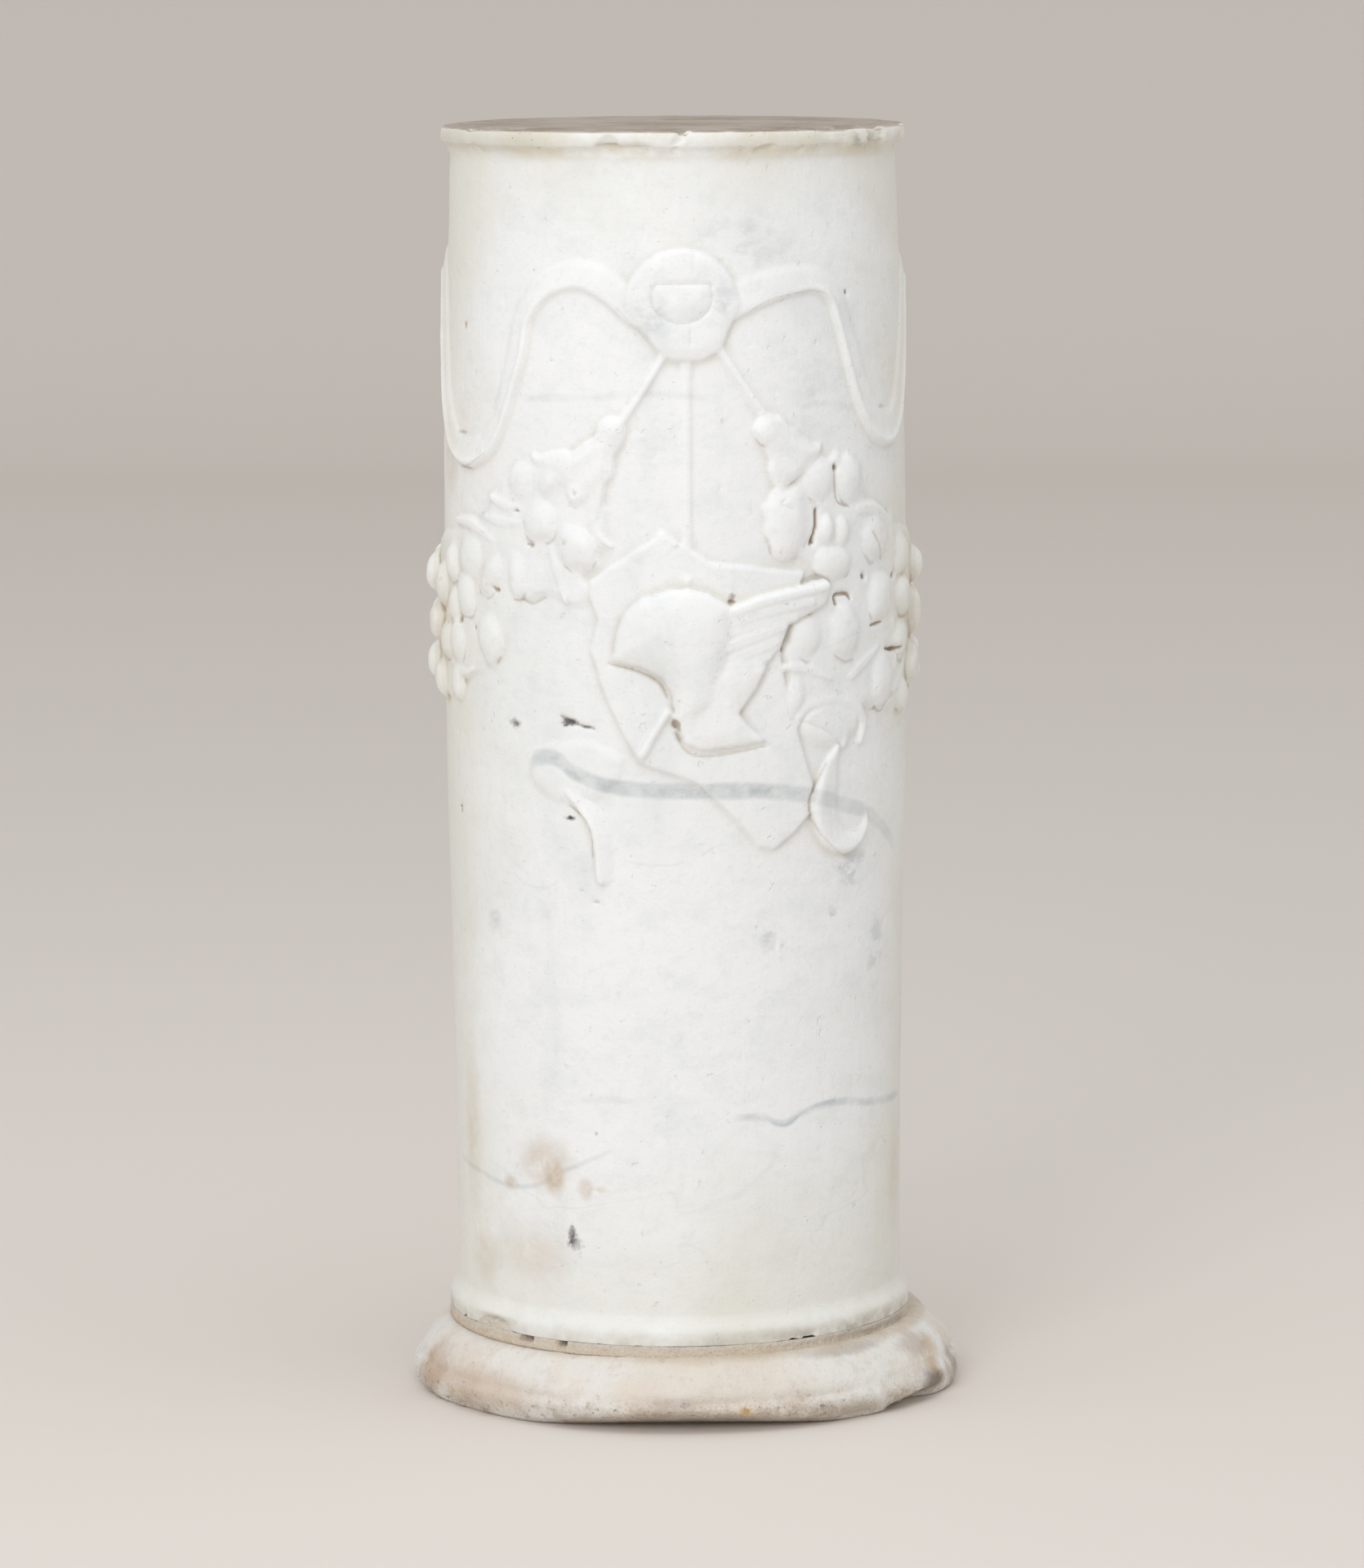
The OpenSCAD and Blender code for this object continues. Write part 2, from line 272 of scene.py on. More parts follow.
# bands, [degrees, height, width]
RIBBON_L = [
    [-9, 604, 17], [-17, 618, 17], [-25, 623, 16], [-34, 616, 14], [-40, 600, 14], [-42, 580, 15],
    [-45, 560, 13], [-48, 543, 12], [-53, 530, 15], [-61, 525, 17], [-68, 529, 16], [-73, 541, 15],
    [-77, 560, 14], [-80, 588, 14], [-84, 614, 14], [-91, 627, 15]]
RIBBON_R = [
    [13, 608, 21], [18, 612, 20], [24, 616, 18], [31, 619, 16], [38, 619, 14], [43, 612, 13],
    [46, 598, 14], [49, 579, 16], [52, 562, 18], [56, 547, 20], [61, 538, 21], [67, 537, 20],
    [72, 547, 17], [75, 562, 15], [79, 582, 13], [83, 602, 13], [87, 615, 13], [91, 622, 14]]
TAIL_FOLD = [[-26, 345, 8], [-22, 337, 10], [-19, 327, 11], [-18, 314, 10], [-18, 299, 8]]
TAIL_R = [
    [43, 366, 4], [41, 357, 11], [40, 348, 16], [39, 338, 19], [39, 330, 19], [41, 320, 17],
    [45, 314, 13], [49, 315, 10], [53, 320, 6], [54, 326, 3]]
KNOT_OUTER = [[30, 381, 6], [33, 390, 7], [40, 393, 8], [48, 389, 8], [52, 379, 8], [51, 368, 5]]
KNOT_INNER = [[34, 384, 5], [40, 387, 6], [45, 380, 6], [45, 368, 6]]
LEAF_L = [[-18, 513, 7], [-19, 503, 9], [-20, 493, 8], [-18, 484, 6], [-15, 478, 2]]
SMALL_LEAVES = [
    [[-50, 502, 5], [-45, 498, 7], [-40, 497, 2]], [[-52, 491, 5], [-46, 489, 7], [-40, 489, 2]],
    [[-31, 476, 4], [-29, 462, 5], [-27, 448, 3]], [[-66, 487, 6], [-58, 486, 8], [-50, 479, 4]],
    [[50, 494, 7], [57, 493, 9], [64, 484, 8], [67, 470, 6]], [[27, 412, 5], [34, 410, 7], [40, 404, 3]],
    [[66, 430, 5], [69, 418, 7], [67, 404, 4]], [[47, 404, 6], [52, 411, 7], [58, 418, 3]],
    [[-70, 408, 5], [-64, 404, 7], [-58, 407, 3]], [[66, 391, 5], [72, 400, 8], [76, 414, 4]]]
# outlines, [degrees, height]
TAIL_LOBE = [
    [-39, 362], [-39, 355], [-38, 347], [-34, 341], [-30, 338], [-25, 337], [-18, 342], [-13, 352],
    [-11, 366], [-21, 376], [-30, 374], [-37, 370]]
BOSS = arc(2, 605, 33, 32, 2, 178, 22) + [[-3, 580], [0, 577], [7, 577], [12, 583], [13, 590]]
CABOCHON = arc(2, 611, 16.5, 13.5, -213, 33, 20)
SHIELD = [
    [-3, 487], [-21, 460], [-21, 450], [-19, 439], [-21, 422], [-16, 391], [-9, 362], [-5, 359], [4, 352],
    [15, 329], [20, 315], [24, 313], [29, 321], [35, 332], [35, 348], [31, 375], [28, 398], [26, 420],
    [27, 440], [33, 463], [8, 471]]
BACK_SHIELD = [
    [156, 470], [156, 400], [163, 358], [180, 318], [197, 358], [204, 400], [204, 470], [180, 480]]
DOME = [
    [-15, 417], [-14, 433], [-12, 444], [-8, 452], [-2, 456], [3, 457], [8, 454], [13, 447], [13, 430],
    [11, 409], [9, 392], [5, 384], [0, 385], [-1, 400], [-3, 408], [-8, 414]]
GUARD = [
    [-1, 388], [0, 382], [2, 373], [6, 369], [15, 371], [22, 373], [17, 383], [15, 389], [19, 401],
    [22, 414], [13, 420], [8, 410]]
WING = [
    [13, 448], [27, 455], [38, 459], [40, 452], [38, 444], [28, 435], [26, 424], [22, 414], [19, 401],
    [15, 389], [9, 388], [11, 416], [12, 432]]
HUSK_L = [
    [-18, 546], [-12, 544], [-12, 536], [-14, 528], [-15, 517], [-17, 508], [-22, 503], [-29, 512],
    [-36, 521], [-37, 527], [-25, 530], [-20, 537]]
HUSK_R = [
    [19, 541], [26, 548], [30, 540], [35, 532], [39, 532], [37, 525], [34, 518], [29, 510], [26, 503],
    [24, 511], [23, 524], [21, 533]]
GROUND_L = [
    [-21, 462], [-21, 446], [-27, 447], [-32, 451], [-40, 448], [-44, 430], [-50, 410], [-62, 404],
    [-67, 390], [-95, 386], [-95, 472], [-68, 483], [-56, 488], [-50, 504], [-44, 520], [-34, 526],
    [-22, 518], [-16, 500], [-15, 480]]
GROUND_R = [
    [22, 500], [23, 478], [32, 470], [38, 460], [34, 444], [27, 424], [27, 400], [30, 388], [54, 384],
    [66, 380], [95, 384], [95, 472], [72, 484], [62, 494], [53, 502], [52, 520], [42, 526], [32, 518]]

# fruit: [degrees, height, half width, half height, how far out, lean]
SWAG_L = [
    [-40, 512, 10, 12, 4.4], [-31, 513, 6.5, 12, 4.4, 40], [-34, 491, 12, 13, 5.6],
    [-24, 478, 13, 14, 6.2], [-59, 468, 13, 14, 5.4, 10], [-50, 460, 8, 15, 5, 34],
    [-41, 461, 7.5, 15, 5], [-61, 448, 11, 14, 5.6], [-51, 426, 11, 15, 5.6], [-66, 422, 10, 14, 6],
    [-69, 463, 10, 12, 6, 10], [-77, 450, 10, 13, 7.6], [-68, 440, 9, 11, 5.6], [-74, 420, 11, 12, 6.2],
    [-82, 429, 11, 13, 9.6], [-89, 453, 11, 13, 10.5], [-67, 399, 8, 12, 4.8], [-79, 398, 10, 12, 7.4],
    [-89, 405, 11, 12, 10.2]]
SWAG_R = [
    [28, 491, 13.5, 20, 5.8], [37, 512, 12, 13, 4.8], [47, 510, 11, 14, 4.8], [39, 486, 5.5, 9.5, 5.6],
    [44, 484, 6.5, 9.5, 5], [41, 467, 14, 10, 6], [57, 477, 15, 14, 5], [59, 446, 13, 15, 6.2],
    [45, 429, 13, 16, 6.2], [33, 428, 10, 13, 4.8, -12], [60, 400, 13, 16, 5.6],
    [30, 397, 6.5, 12, 4.2, 10], [73, 443, 13, 13, 7], [84, 432, 12, 13, 9.2], [72, 466, 12, 13, 6.2],
    [81, 404, 13, 13, 8.6], [71, 420, 11, 13, 5.8], [89, 457, 12, 12, 9.6], [73, 388, 10, 10, 5.6]]
# drilled holes, [degrees, height, half width, half height, depth, lean]
DRILLED = [
    [42, 518, 1.8, 1.8, 3.5], [35, 479, 2.4, 2.6, 4], [52, 457, 2.2, 2.2, 4.5], [26, 422, 1.6, 1.6, 2.5],
    [-24, 507, 1.6, 2.2, 1.3], [-27, 480, 1.8, 2.6, 1.2], [-37, 478, 3, 1.2, 2, 20],
    [-41, 496, 4, 1, 2.2], [-48, 452, 3.2, 1.4, 2, 30], [-64, 433, 1.6, 2.2, 2], [-57, 430, 1.4, 2, 2],
    [77, 424, 2, 3, 3], [66, 455, 1.8, 2.4, 3], [-73, 436, 1.6, 2.4, 3]]
# cut slots and fine lines, paths of [degrees, height, width] with their depths
SLOTS = [
    ([[42, 518, 2.2], [42, 508, 2.4], [43, 499, 2.2], [47, 496, 2]], 1.8),
    ([[36, 496, 3], [36, 488, 3], [35, 480, 3]], 3.4),
    ([[42, 444, 3], [42, 449, 3.4], [46, 449, 3.6], [47, 446, 2]], 3.2),
    ([[55, 430, 2.6], [60, 431, 2.4]], 3), ([[62, 416, 2.8], [65, 415, 2.8], [70, 415, 2.4]], 3.4),
    ([[55, 481, 2.4], [58, 473, 2.6], [60, 465, 2]], 1.6),
    ([[-29, 386, 3], [-27, 384, 4], [-24, 382, 2.2], [-20, 380, 1]], 2.4),
    ([[27, 503, 1.8], [26, 500, 2], [29, 497, 1.6]], 1.2),
    ([[57, 384, 2], [62, 386, 2.2], [66, 390, 1.4]], 1.4),
    ([[-40, 448, 2.2], [-37, 446, 2.6], [-33, 450, 1.6]], 1.4)]
BOSS_LINES = (
    ([[-2, 623, 1.8], [-2, 636, 1.8]], 0.6), ([[5, 623, 1.8], [5, 636, 1.8]], 0.7),
    ([[-12, 606, 1.8], [-8, 609, 1.8], [-5, 610, 1.8]], 0.6), ([[-2, 580, 1.6], [-1, 596, 1.6]], 0.4),
    ([[4, 586, 2.4], [4, 594, 2.4]], 1), ([[10, 604, 1.8], [14, 592, 1.8]], 0.4))
CLOTH_LINES = [
    ([[-27, 338, 1.6], [-25, 335, 2.2], [-22, 330, 2.2], [-21, 321, 2], [-21, 310, 1.6]], 1.2),
    ([[39, 359, 2], [36, 348, 2.6], [34, 340, 3], [34, 332, 3], [37, 320, 2.2], [42, 310, 2],
      [47, 306, 1.6]], 1.8)]
HELMET_LINES = [
    ([[-16, 416, 2], [-9, 412, 2.6], [-4, 406, 3], [-2, 398, 2.2]], 1.6),
    ([[0, 379, 2], [2, 370, 2.4], [6, 366, 2.4], [15, 368, 2.4], [23, 371, 1.4]], 1.3)]
# dirt and painted shade under the ribbons and the hanging cloth, paths with their strengths
RIBBON_DIRT_AND_SHADE = [
    ([[-4, 582, 1.8], [-9, 594, 1.8], [-14, 606, 1.8], [-18, 610, 1.4]], 0.5),
    ([[14, 598, 1.8], [23, 608, 2], [28, 611, 2], [36, 613, 2], [42, 610, 1.6]], 0.55),
    ([[46, 554, 1.8], [47, 549, 2], [51, 538, 2.2], [56, 527, 2.2], [61, 525, 1.8]], 0.75),
    ([[-50, 528, 1.8], [-56, 521, 2.2], [-62, 517, 2], [-68, 520, 1.6]], 0.7)]
CLOTH_DIRT_AND_SHADE = [
    ([[-27, 338, 1.8], [-25, 335, 2.4], [-22, 330, 2], [-21, 322, 1.6]], 0.7),
    ([[36, 348, 1.8], [34, 341, 3], [34, 334, 2.6], [35, 328, 1.8]], 0.7),
    ([[46, 321, 1.6], [49, 319, 1.8], [52, 321, 1.6]], 0.5)]
# pits and chips: degrees, height, half width, half height, depth
PITS = (
    (-43, 380, 3.2, 1.4, 1.6), (-27, 331, 3.4, 1.4, 2.2), (-64, 593, 1.6, 2.2, 2), (48, 611, 1, 1.6, 1.5),
    (-68, 486, 1.5, 2, 2), (-68, 328, 1.4, 2, 2), (-31.5, 577, 1, 1, 1), (-58, 568, 0.9, 1.4, 1),
    (-28, 102, 1.6, 3.6, 0.8), (25, 260, 1.2, 4, 0.5), (-20, 286, 2.6, 1.4, 1.2),
    (-24, 292, 1.6, 1, 1), (9, 313, 1.1, 0.8, 0.8))


def flat_band(top, side, roll_width):
    """Cross section of a ribbon: flat, cut sharp along one side, where a roll grows from its start."""
    def form(u, v):
        s = u * side
        grow = 0.2 + 0.8 * smooth(v, 0.14, 0.3)
        rise = 0.4 + 0.2 * smooth(s, -0.9, 0.4) + 0.4 * grow * np.exp(-((s - 0.64) / roll_width) ** 2)
        sharp, soft = 1 - smooth(np.abs(u), 0.9, 1.04), 1 - smooth(np.abs(u), 0.55, 1.15)
        return top * rise * (soft + (sharp - soft) * smooth(s, -0.2, 0.3))
    return form


def rounded(top, rib=0):
    """Cross section of a cord, a leaf or a feather, with a cut down the middle."""
    def form(u, v):
        face = top * (1 - 0.35 * u * u) - rib * np.exp(-(u / 0.2) ** 2)
        return face * (1 - smooth(np.abs(u), 0.7, 1.05))
    return form


def plateau(top, rise=1.2, crown=0, reach=8):
    """A flat carved shape with a crowned face."""
    def form(sd, X, Z):
        h = top * smooth(sd, -0.4, rise) + crown * smooth(sd, 0, reach)
        return np.where(sd > -0.4, h, OUTSIDE)
    return form


def carve(F, T, Tf):
    """T: degrees all round. Tf: folded about the sides, so the back repeats the front's festoons."""
    rng = np.random.default_rng(26)
    F.band(Tf, RIBBON_L, flat_band(3.9, 1, 0.24))
    F.band(Tf, RIBBON_R, flat_band(3.9, -1, 0.2))
    # dark lines along the ribbons' edges: painted shade with dirt
    for line in RIBBON_DIRT_AND_SHADE:
        F.dirt_and_shade_line(Tf, *line)

    # cords: a middle one that drops to the helmet, and one to each husk
    def middle(u, v):
        return 1.7 * (1 - 0.3 * u * u) * (1 - smooth(np.abs(u), 0.7, 1))
    F.band(Tf, [[3, 582, 7], [3, 462, 6]], middle, 1)
    F.band(Tf, [[-2, 582, 5.2], [-8, 560, 5], [-14, 541, 5.4]], rounded(3, 0.3), 2)
    F.band(Tf, [[11, 584, 5.2], [17, 564, 5], [23, 545, 5.6]], rounded(3, 0.3), 2)
    # boss with its inner shield
    F.plate(Tf, BOSS, plateau(3.2, 1.4, 1))
    F.plate(Tf, CABOCHON, plateau(4.2, 1.5, 1.2, 10))
    F.groove(Tf, [[t, z, 2.6] for t, z in CABOCHON + CABOCHON[:1]], 1.1)
    for line in BOSS_LINES:
        F.groove(Tf, *line)
    # fruit and leaves on their raised ground, run together as worn carving is
    plain = F.H.copy()
    F.H[:] = 0
    for outline in (GROUND_L, GROUND_R):
        F.plate(Tf, outline, lambda sd, X, Z: 2.4 * smooth(sd, -1.5, 5), 2.5, 5)
    for path in SMALL_LEAVES:
        F.band(Tf, path, rounded(3.6, 0.6))
    for f in SWAG_L + SWAG_R:
        F.fruit(Tf, *f)
    for outline, t, z in ((HUSK_L, -15, 541), (HUSK_R, 23, 540)):
        def husk(sd, X, Z, t=t, z=z):
            a = np.arctan2(Z - z, X - t * DEG)
            flutes = 0.35 * np.cos(a * 13) * smooth(np.hypot(Z - z, X - t * DEG), 9, 22)
            h = 2.8 * smooth(sd, -0.4, 1.2) + 1.6 * smooth(sd, 0, 8) + flutes * smooth(sd, 0, 3)
            return np.where(sd > -0.4, h, OUTSIDE)
        F.plate(Tf, outline, husk, 1, 5)
        F.fruit(Tf, t, z, 8, 8.5, 5.2)
    F.band(Tf, LEAF_L, rounded(3.6, 0.5))
    F.fruit(Tf, -24, 507, 6.5, 8, 5)
    for side in (-1, 1):                # smaller fruit fills the far sides
        for _ in range(15):
            t, z = side * rng.uniform(88, 126), rng.uniform(396, 466)
            rx, rz, lean = rng.uniform(5, 8.5), rng.uniform(6.5, 10), rng.uniform(-30, 30)
            F.fruit(T, t, z, rx, rz, rng.uniform(6.5, 9.5), lean)
    F.H = smooth_max(plain, F.H, 1)
    for d in DRILLED:
        F.cut(Tf, *d)
    for path, depth in SLOTS:           # those below the fruit aren't repeated behind
        F.groove(Tf if path[0][1] > 388 else T, path, depth)


def carve_front(F, T):
    """The shield, the helmet and the hanging cloth, and the plainer shield behind."""
    F.plate(T, SHIELD, plateau(2.9, 1.3), 0.5, 3)
    F.plate(np.where(T < 0, T + 360, T), BACK_SHIELD, plateau(2.9, 1.3, 0.8), 0.5, 4)
    # ribbon tails
    F.plate(T, TAIL_LOBE, plateau(1.3, 5, 0.7))
    F.band(T, TAIL_FOLD, flat_band(4.4, -1, 0.5))
    for line in CLOTH_LINES:
        F.groove(T, *line)
    flap = flat_band(4.6, -1, 0.8)
    F.band(T, TAIL_R, lambda u, v: flap(u, v) * (1 - 0.5 * smooth(v, 0.66, 0.95)))
    # dark lines along the cloth's edges: painted shade with dirt
    for line in CLOTH_DIRT_AND_SHADE:
        F.dirt_and_shade_line(T, *line)
    # the knot it hangs from: two rolls of cloth, one inside the other
    F.plate(T, arc(41, 380, 24, 15, 0, 345, 24), plateau(1.7, 6, 0.8))
    F.band(T, KNOT_OUTER, rounded(2.9, 0.2))
    F.band(T, KNOT_INNER, rounded(2.7, 0.2))
    F.groove(T, [[31, 383, 1.8], [39, 376, 2], [44, 367, 1.6]], 1.1)
    # helmet: neck guard, chin strap, wing, crown
    F.plate(T, GUARD, plateau(6.4, 0.9, 1))
    F.band(T, [[-2, 390, 6], [-5, 379, 6], [-8, 367, 7]], rounded(5.8), 3)
    F.plate(T, WING, plateau(5.2, 1.4, 0.6))
    for i in range(4, -1, -1):          # hanging feathers, the lowest first
        t, z = 11 - 0.7 * i, 424 - 8.6 * i
        middle = [t + 7.5 - 0.4 * i, z + 5.5 + 0.5 * i, 10]
        F.band(T, [[t, z, 9], middle, [t + 15 - 1.2 * i, z + 10.5 + 0.8 * i, 6]],
               rounded(6.9 - 0.3 * i, 0.7), 4)
    for i in (2, 1, 0):                 # the three long ones over them
        F.band(T, [[13, 443 - 5 * i, 8], [23, 449.5 - 6 * i, 8.5], [38 - 4.5 * i, 455 - 8 * i, 7]],
               rounded(7.6 - 0.5 * i, 0.7), 4)

    def dome(sd, X, Z):
        k = np.clip(sd / 26, 0, 1)
        swell = np.sqrt(np.clip(1 - (1 - k) ** 2, 0, 1))
        return np.where(sd > -0.3, 4 * smooth(sd, -0.3, 0.8) + 7.3 * swell, OUTSIDE)
    F.plate(T, DOME, dome)
    for line in HELMET_LINES:
        F.groove(T, *line)
    F.cut(T, 0, 384, 2.6, 4.2, 3, -8)
    F.cut(T, 1, 377, 4.2, 5, 0.9, -8)
    for k in range(6):                  # a row of drill points along the root of the wing
        F.cut(T, 13 - 0.9 * k, 438 - 6.4 * k, 0.9, 0.9, 1.2)
    F.fruit(T, 3, 461, 4, 4, 4.8)
    F.cut(T, 13.5, 449, 2.4, 1.6, 3.4, 20)


# -------- meshes
def densify(points, step):
    """The same outline with no gap wider than step."""
    out = [points[0]]
    for a, b in zip(points, points[1:]):
        a, b = np.array(a, float), np.array(b, float)
        n = max(1, int(math.ceil(np.hypot(*(b - a)) / step)))
        out += [tuple(a + (b - a) * k / n) for k in range(1, n + 1)]
    return out


def turned(rows, theta):
    """An outline of (radius, height) turned round: degrees, heights, radii, radians, x and y."""
    T, Z = np.meshgrid(theta, rows[:, 1])
    R = rows[:, 0][:, None] + np.zeros_like(T)
    th = np.radians(T)
    return T, Z, R, th, R * np.sin(th), -R * np.cos(th)


def normals(rows):
    """The outline's own normals, which point out of it."""
    d = np.gradient(rows, axis=0)
    n = np.stack([d[:, 1], -d[:, 0]], 1)
    return n / np.maximum(np.linalg.norm(n, axis=1, keepdims=True), 1e-9)


def rings_mesh(name, P, attributes=()):
    """A closed skin from rows of points P[row, column, xyz] in mm, joined round, capped at both ends."""
    nr, nc = P.shape[:2]
    co = np.vstack([P.reshape(-1, 3), P[0].mean(0), P[-1].mean(0)]) * MM
    k, i = np.arange(nc), np.arange(nr - 1)[:, None] * nc
    k2 = (k + 1) % nc
    quads = np.stack([i + k, i + k2, i + nc + k2, i + nc + k], -1).reshape(-1, 4)
    under, over_all, last = nr * nc, nr * nc + 1, (nr - 1) * nc
    tris = np.vstack([np.stack([k2, k, np.full(nc, under)], 1),
                      np.stack([last + k, last + k2, np.full(nc, over_all)], 1)])
    me = bpy.data.meshes.new(name)
    me.from_pydata(co.tolist(), [], quads.tolist() + tris.tolist())
    me.validate()
    for key, values in attributes:
        v = np.concatenate([values.ravel(), [values[0].mean(), values[-1].mean()]]).astype(np.float32)
        me.attributes.new(key, "FLOAT", "POINT").data.foreach_set("value", v)
    me.polygons.foreach_set("use_smooth", [True] * len(me.polygons))
    ob = bpy.data.objects.new(name, me)
    bpy.context.scene.collection.objects.link(ob)
    return ob


def thin(ob, triangles):
    """Fewer triangles where the surface is flat."""
    now = sum(len(p.vertices) - 2 for p in ob.data.polygons)
    m = ob.modifiers.new("thin", "DECIMATE")
    m.ratio = triangles / now
    m.use_collapse_triangulate = True
    dg = bpy.context.evaluated_depsgraph_get()
    me = bpy.data.meshes.new_from_object(ob.evaluated_get(dg), preserve_all_data_layers=True, depsgraph=dg)
    ob.modifiers.clear()
    ob.data = me
    return ob


def shaft_piece():
    """The carved shaft: a turned outline, its relief, and the wear on both."""
    heel, brim, more = Z0 + FOOT_H, TOP - RING_H, BELLY - ANKLE
    swell = np.array([
        [heel + 11.5, ANKLE], [175 * KZ, ANKLE + 0.4], [225 * KZ, ANKLE + 0.3 * more],
        [275 * KZ, ANKLE + 0.6 * more], [330 * KZ, BELLY - 0.4], [430 * KZ, BELLY],
        [525 * KZ, BELLY - 0.4], [585 * KZ, NECK + 0.7 * (BELLY - NECK)],
        [635 * KZ, NECK + 0.2 * (BELLY - NECK)], [brim - 7, NECK]])
    foot = [
        (1, Z0), (FOOT - 8, Z0), (FOOT - 0.8, Z0), (FOOT - 0.1, Z0 + 0.7), (FOOT, Z0 + 2), (FOOT, heel - 1),
        (FOOT - 0.4, heel + 1), (FOOT - 1.9, heel + 2.9), (FOOT - 4, heel + 5.6),
        (ANKLE + 0.3, heel + 8.6), (swell[0, 1], swell[0, 0])]
    head = [
        (NECK, brim - 7), (NECK + 0.3, brim - 4), (NECK + 1.4, brim - 1.6), (RING - 3.2, brim + 0.2),
        (RING - 0.9, brim + 2.2), (RING - 0.1, brim + 4.6), (RING - 0.1, TOP - 4), (RING - 0.9, TOP - 1.7),
        (RING - 2.4, TOP - 0.5), (RING - 4.5, TOP - 0.05), (RING - 14, TOP - 0.2), (1, TOP - 0.2)]
    carved_lo, carved_hi = 284 * KZ, 646 * KZ           # rows are close together between these
    zz = np.concatenate([np.arange(swell[0, 0] + 2, carved_lo, 2.2), np.arange(carved_lo, carved_hi, 0.98),
                         np.arange(carved_hi + 1, brim - 8, 2)])
    rr = np.interp(zz, swell[:, 0], swell[:, 1])
    for _ in range(3):                                  # round the joins of the swelling curve
        rr[20:-20] = (rr[:-40] + 2 * rr[20:-20] + rr[40:]) / 4
    below = [p for p in densify(foot, 1.3)[:-1] if p[0] > FOOT - 9 or p[0] < 2]
    above = [p for k, p in enumerate(densify(head, 0.9)) if p[0] > RING - 15 or k % 6 == 0]
    rows = np.array(below + list(zip(rr, zz)) + above)
    side = 104                                          # columns are close together up to here
    rear = np.arange(side, 360 - side, 0.85)
    theta = np.sort(np.concatenate([rear - 360 * (rear > 180), np.arange(-side, side, 0.43)]))
    T, Z, R, th, px, py = turned(rows, theta)
    on_face = np.zeros(len(rows), bool)
    on_face[len(below):len(below) + len(zz)] = True
    face = on_face[:, None]

    def rough(size, octaves, seed):
        return fbm(px, py, Z, size, octaves, seed)

    F = Field(theta, rows[:, 1] / KZ)
    carve(F, T, np.where(np.abs(T) <= 90, T, np.sign(T) * 180 - T))
    carve_front(F, T)
    H = F.H
    H[~on_face] = 0
    # time: edges soften, the face is a little uneven and pitted
    soft = blur(H, 1, 2)
    H = 0.35 * H + 0.65 * soft
    H = H + 0.35 * rough(70, 3, 11) * face - 0.35 + 0.1 * rough(6, 2, 23)
    H = H + smooth(soft, 0.8, 3) * 0.28 * rough(9, 3, 31)
    H = H - 0.3 * smooth(rough(5, 2, 47), 0.56, 0.72) * face
    F.H = H
    for t, z, rx, rz, d in PITS:
        F.cut(T, t, z, rx, rz, d, 0, 0.3)
    H = F.H
    # chips and wear on the roll and the foot
    ringy = smooth(Z, brim - 3, brim) * (R > RING - 16)
    chip = smooth(rough(16, 3, 61), 0.22, 0.5)
    H = H - ringy * (0.5 + 0.5 * rough(22, 3, 67) + 1.9 * chip)
    under = ringy * smooth(TOP - Z, RING_H * 0.45, RING_H)
    H = (H - under * 2 * smooth(T, -20, -14) * (1 - smooth(T, -7, -3))
         - ringy * 1.1 * smooth(T, 36, 41) * (1 - smooth(T, 46, 50)))
    footy = 1 - smooth(Z, Z0 + 6, Z0 + 14)
    chip = smooth(rough(12, 3, 71), 0.3, 0.55) * (1 - smooth(Z, Z0 + 1, Z0 + 6))
    H = H - footy * (0.35 + 0.3 * rough(18, 2, 73) + 1.3 * chip)
    bite = np.exp(-((T + 53) / 5.5) ** 2) * (1 - smooth(Z, Z0 + 4, Z0 + 10)) * (R > FOOT - 10)
    H = H - 4.5 * bite
    # hollows and proud edges, kept for dirt and painted shade in them and a painted highlight on the edges
    hh = np.where(face, H, blur(H, 2, 1))
    marks = (("cavity", np.clip((blur(hh, 3) - hh) / 1.6, -1, 1)),
             ("wide", np.clip((blur(hh, 10) - hh) / 4, -1, 1)),
             ("crease", np.clip(F.D, 0, 1)))
    # move each point along the outline's own normal
    nrm = normals(rows)
    nrm[on_face] = (1, 0)
    R2 = np.maximum(R + H * nrm[:, :1], 0.5)
    Z2 = Z + H * nrm[:, 1:2]
    Z2 = np.where((Z > TOP - 1) & (R < RING - 12), TOP - 0.35 + 0.3 * rough(30, 3, 83), Z2)
    Z2 = np.clip(Z2, Z0 + 0.01, TOP - 0.02)
    P = np.stack([SX + R2 * np.sin(th), SY - R2 * np.cos(th), Z2], -1)
    P = np.clip(P, np.minimum(S_LO, B_LO) + 0.02, np.maximum(S_HI, B_HI) - 0.02)
    return thin(rings_mesh("shaft_marble_skin", P, marks), SHAFT_TRIS)


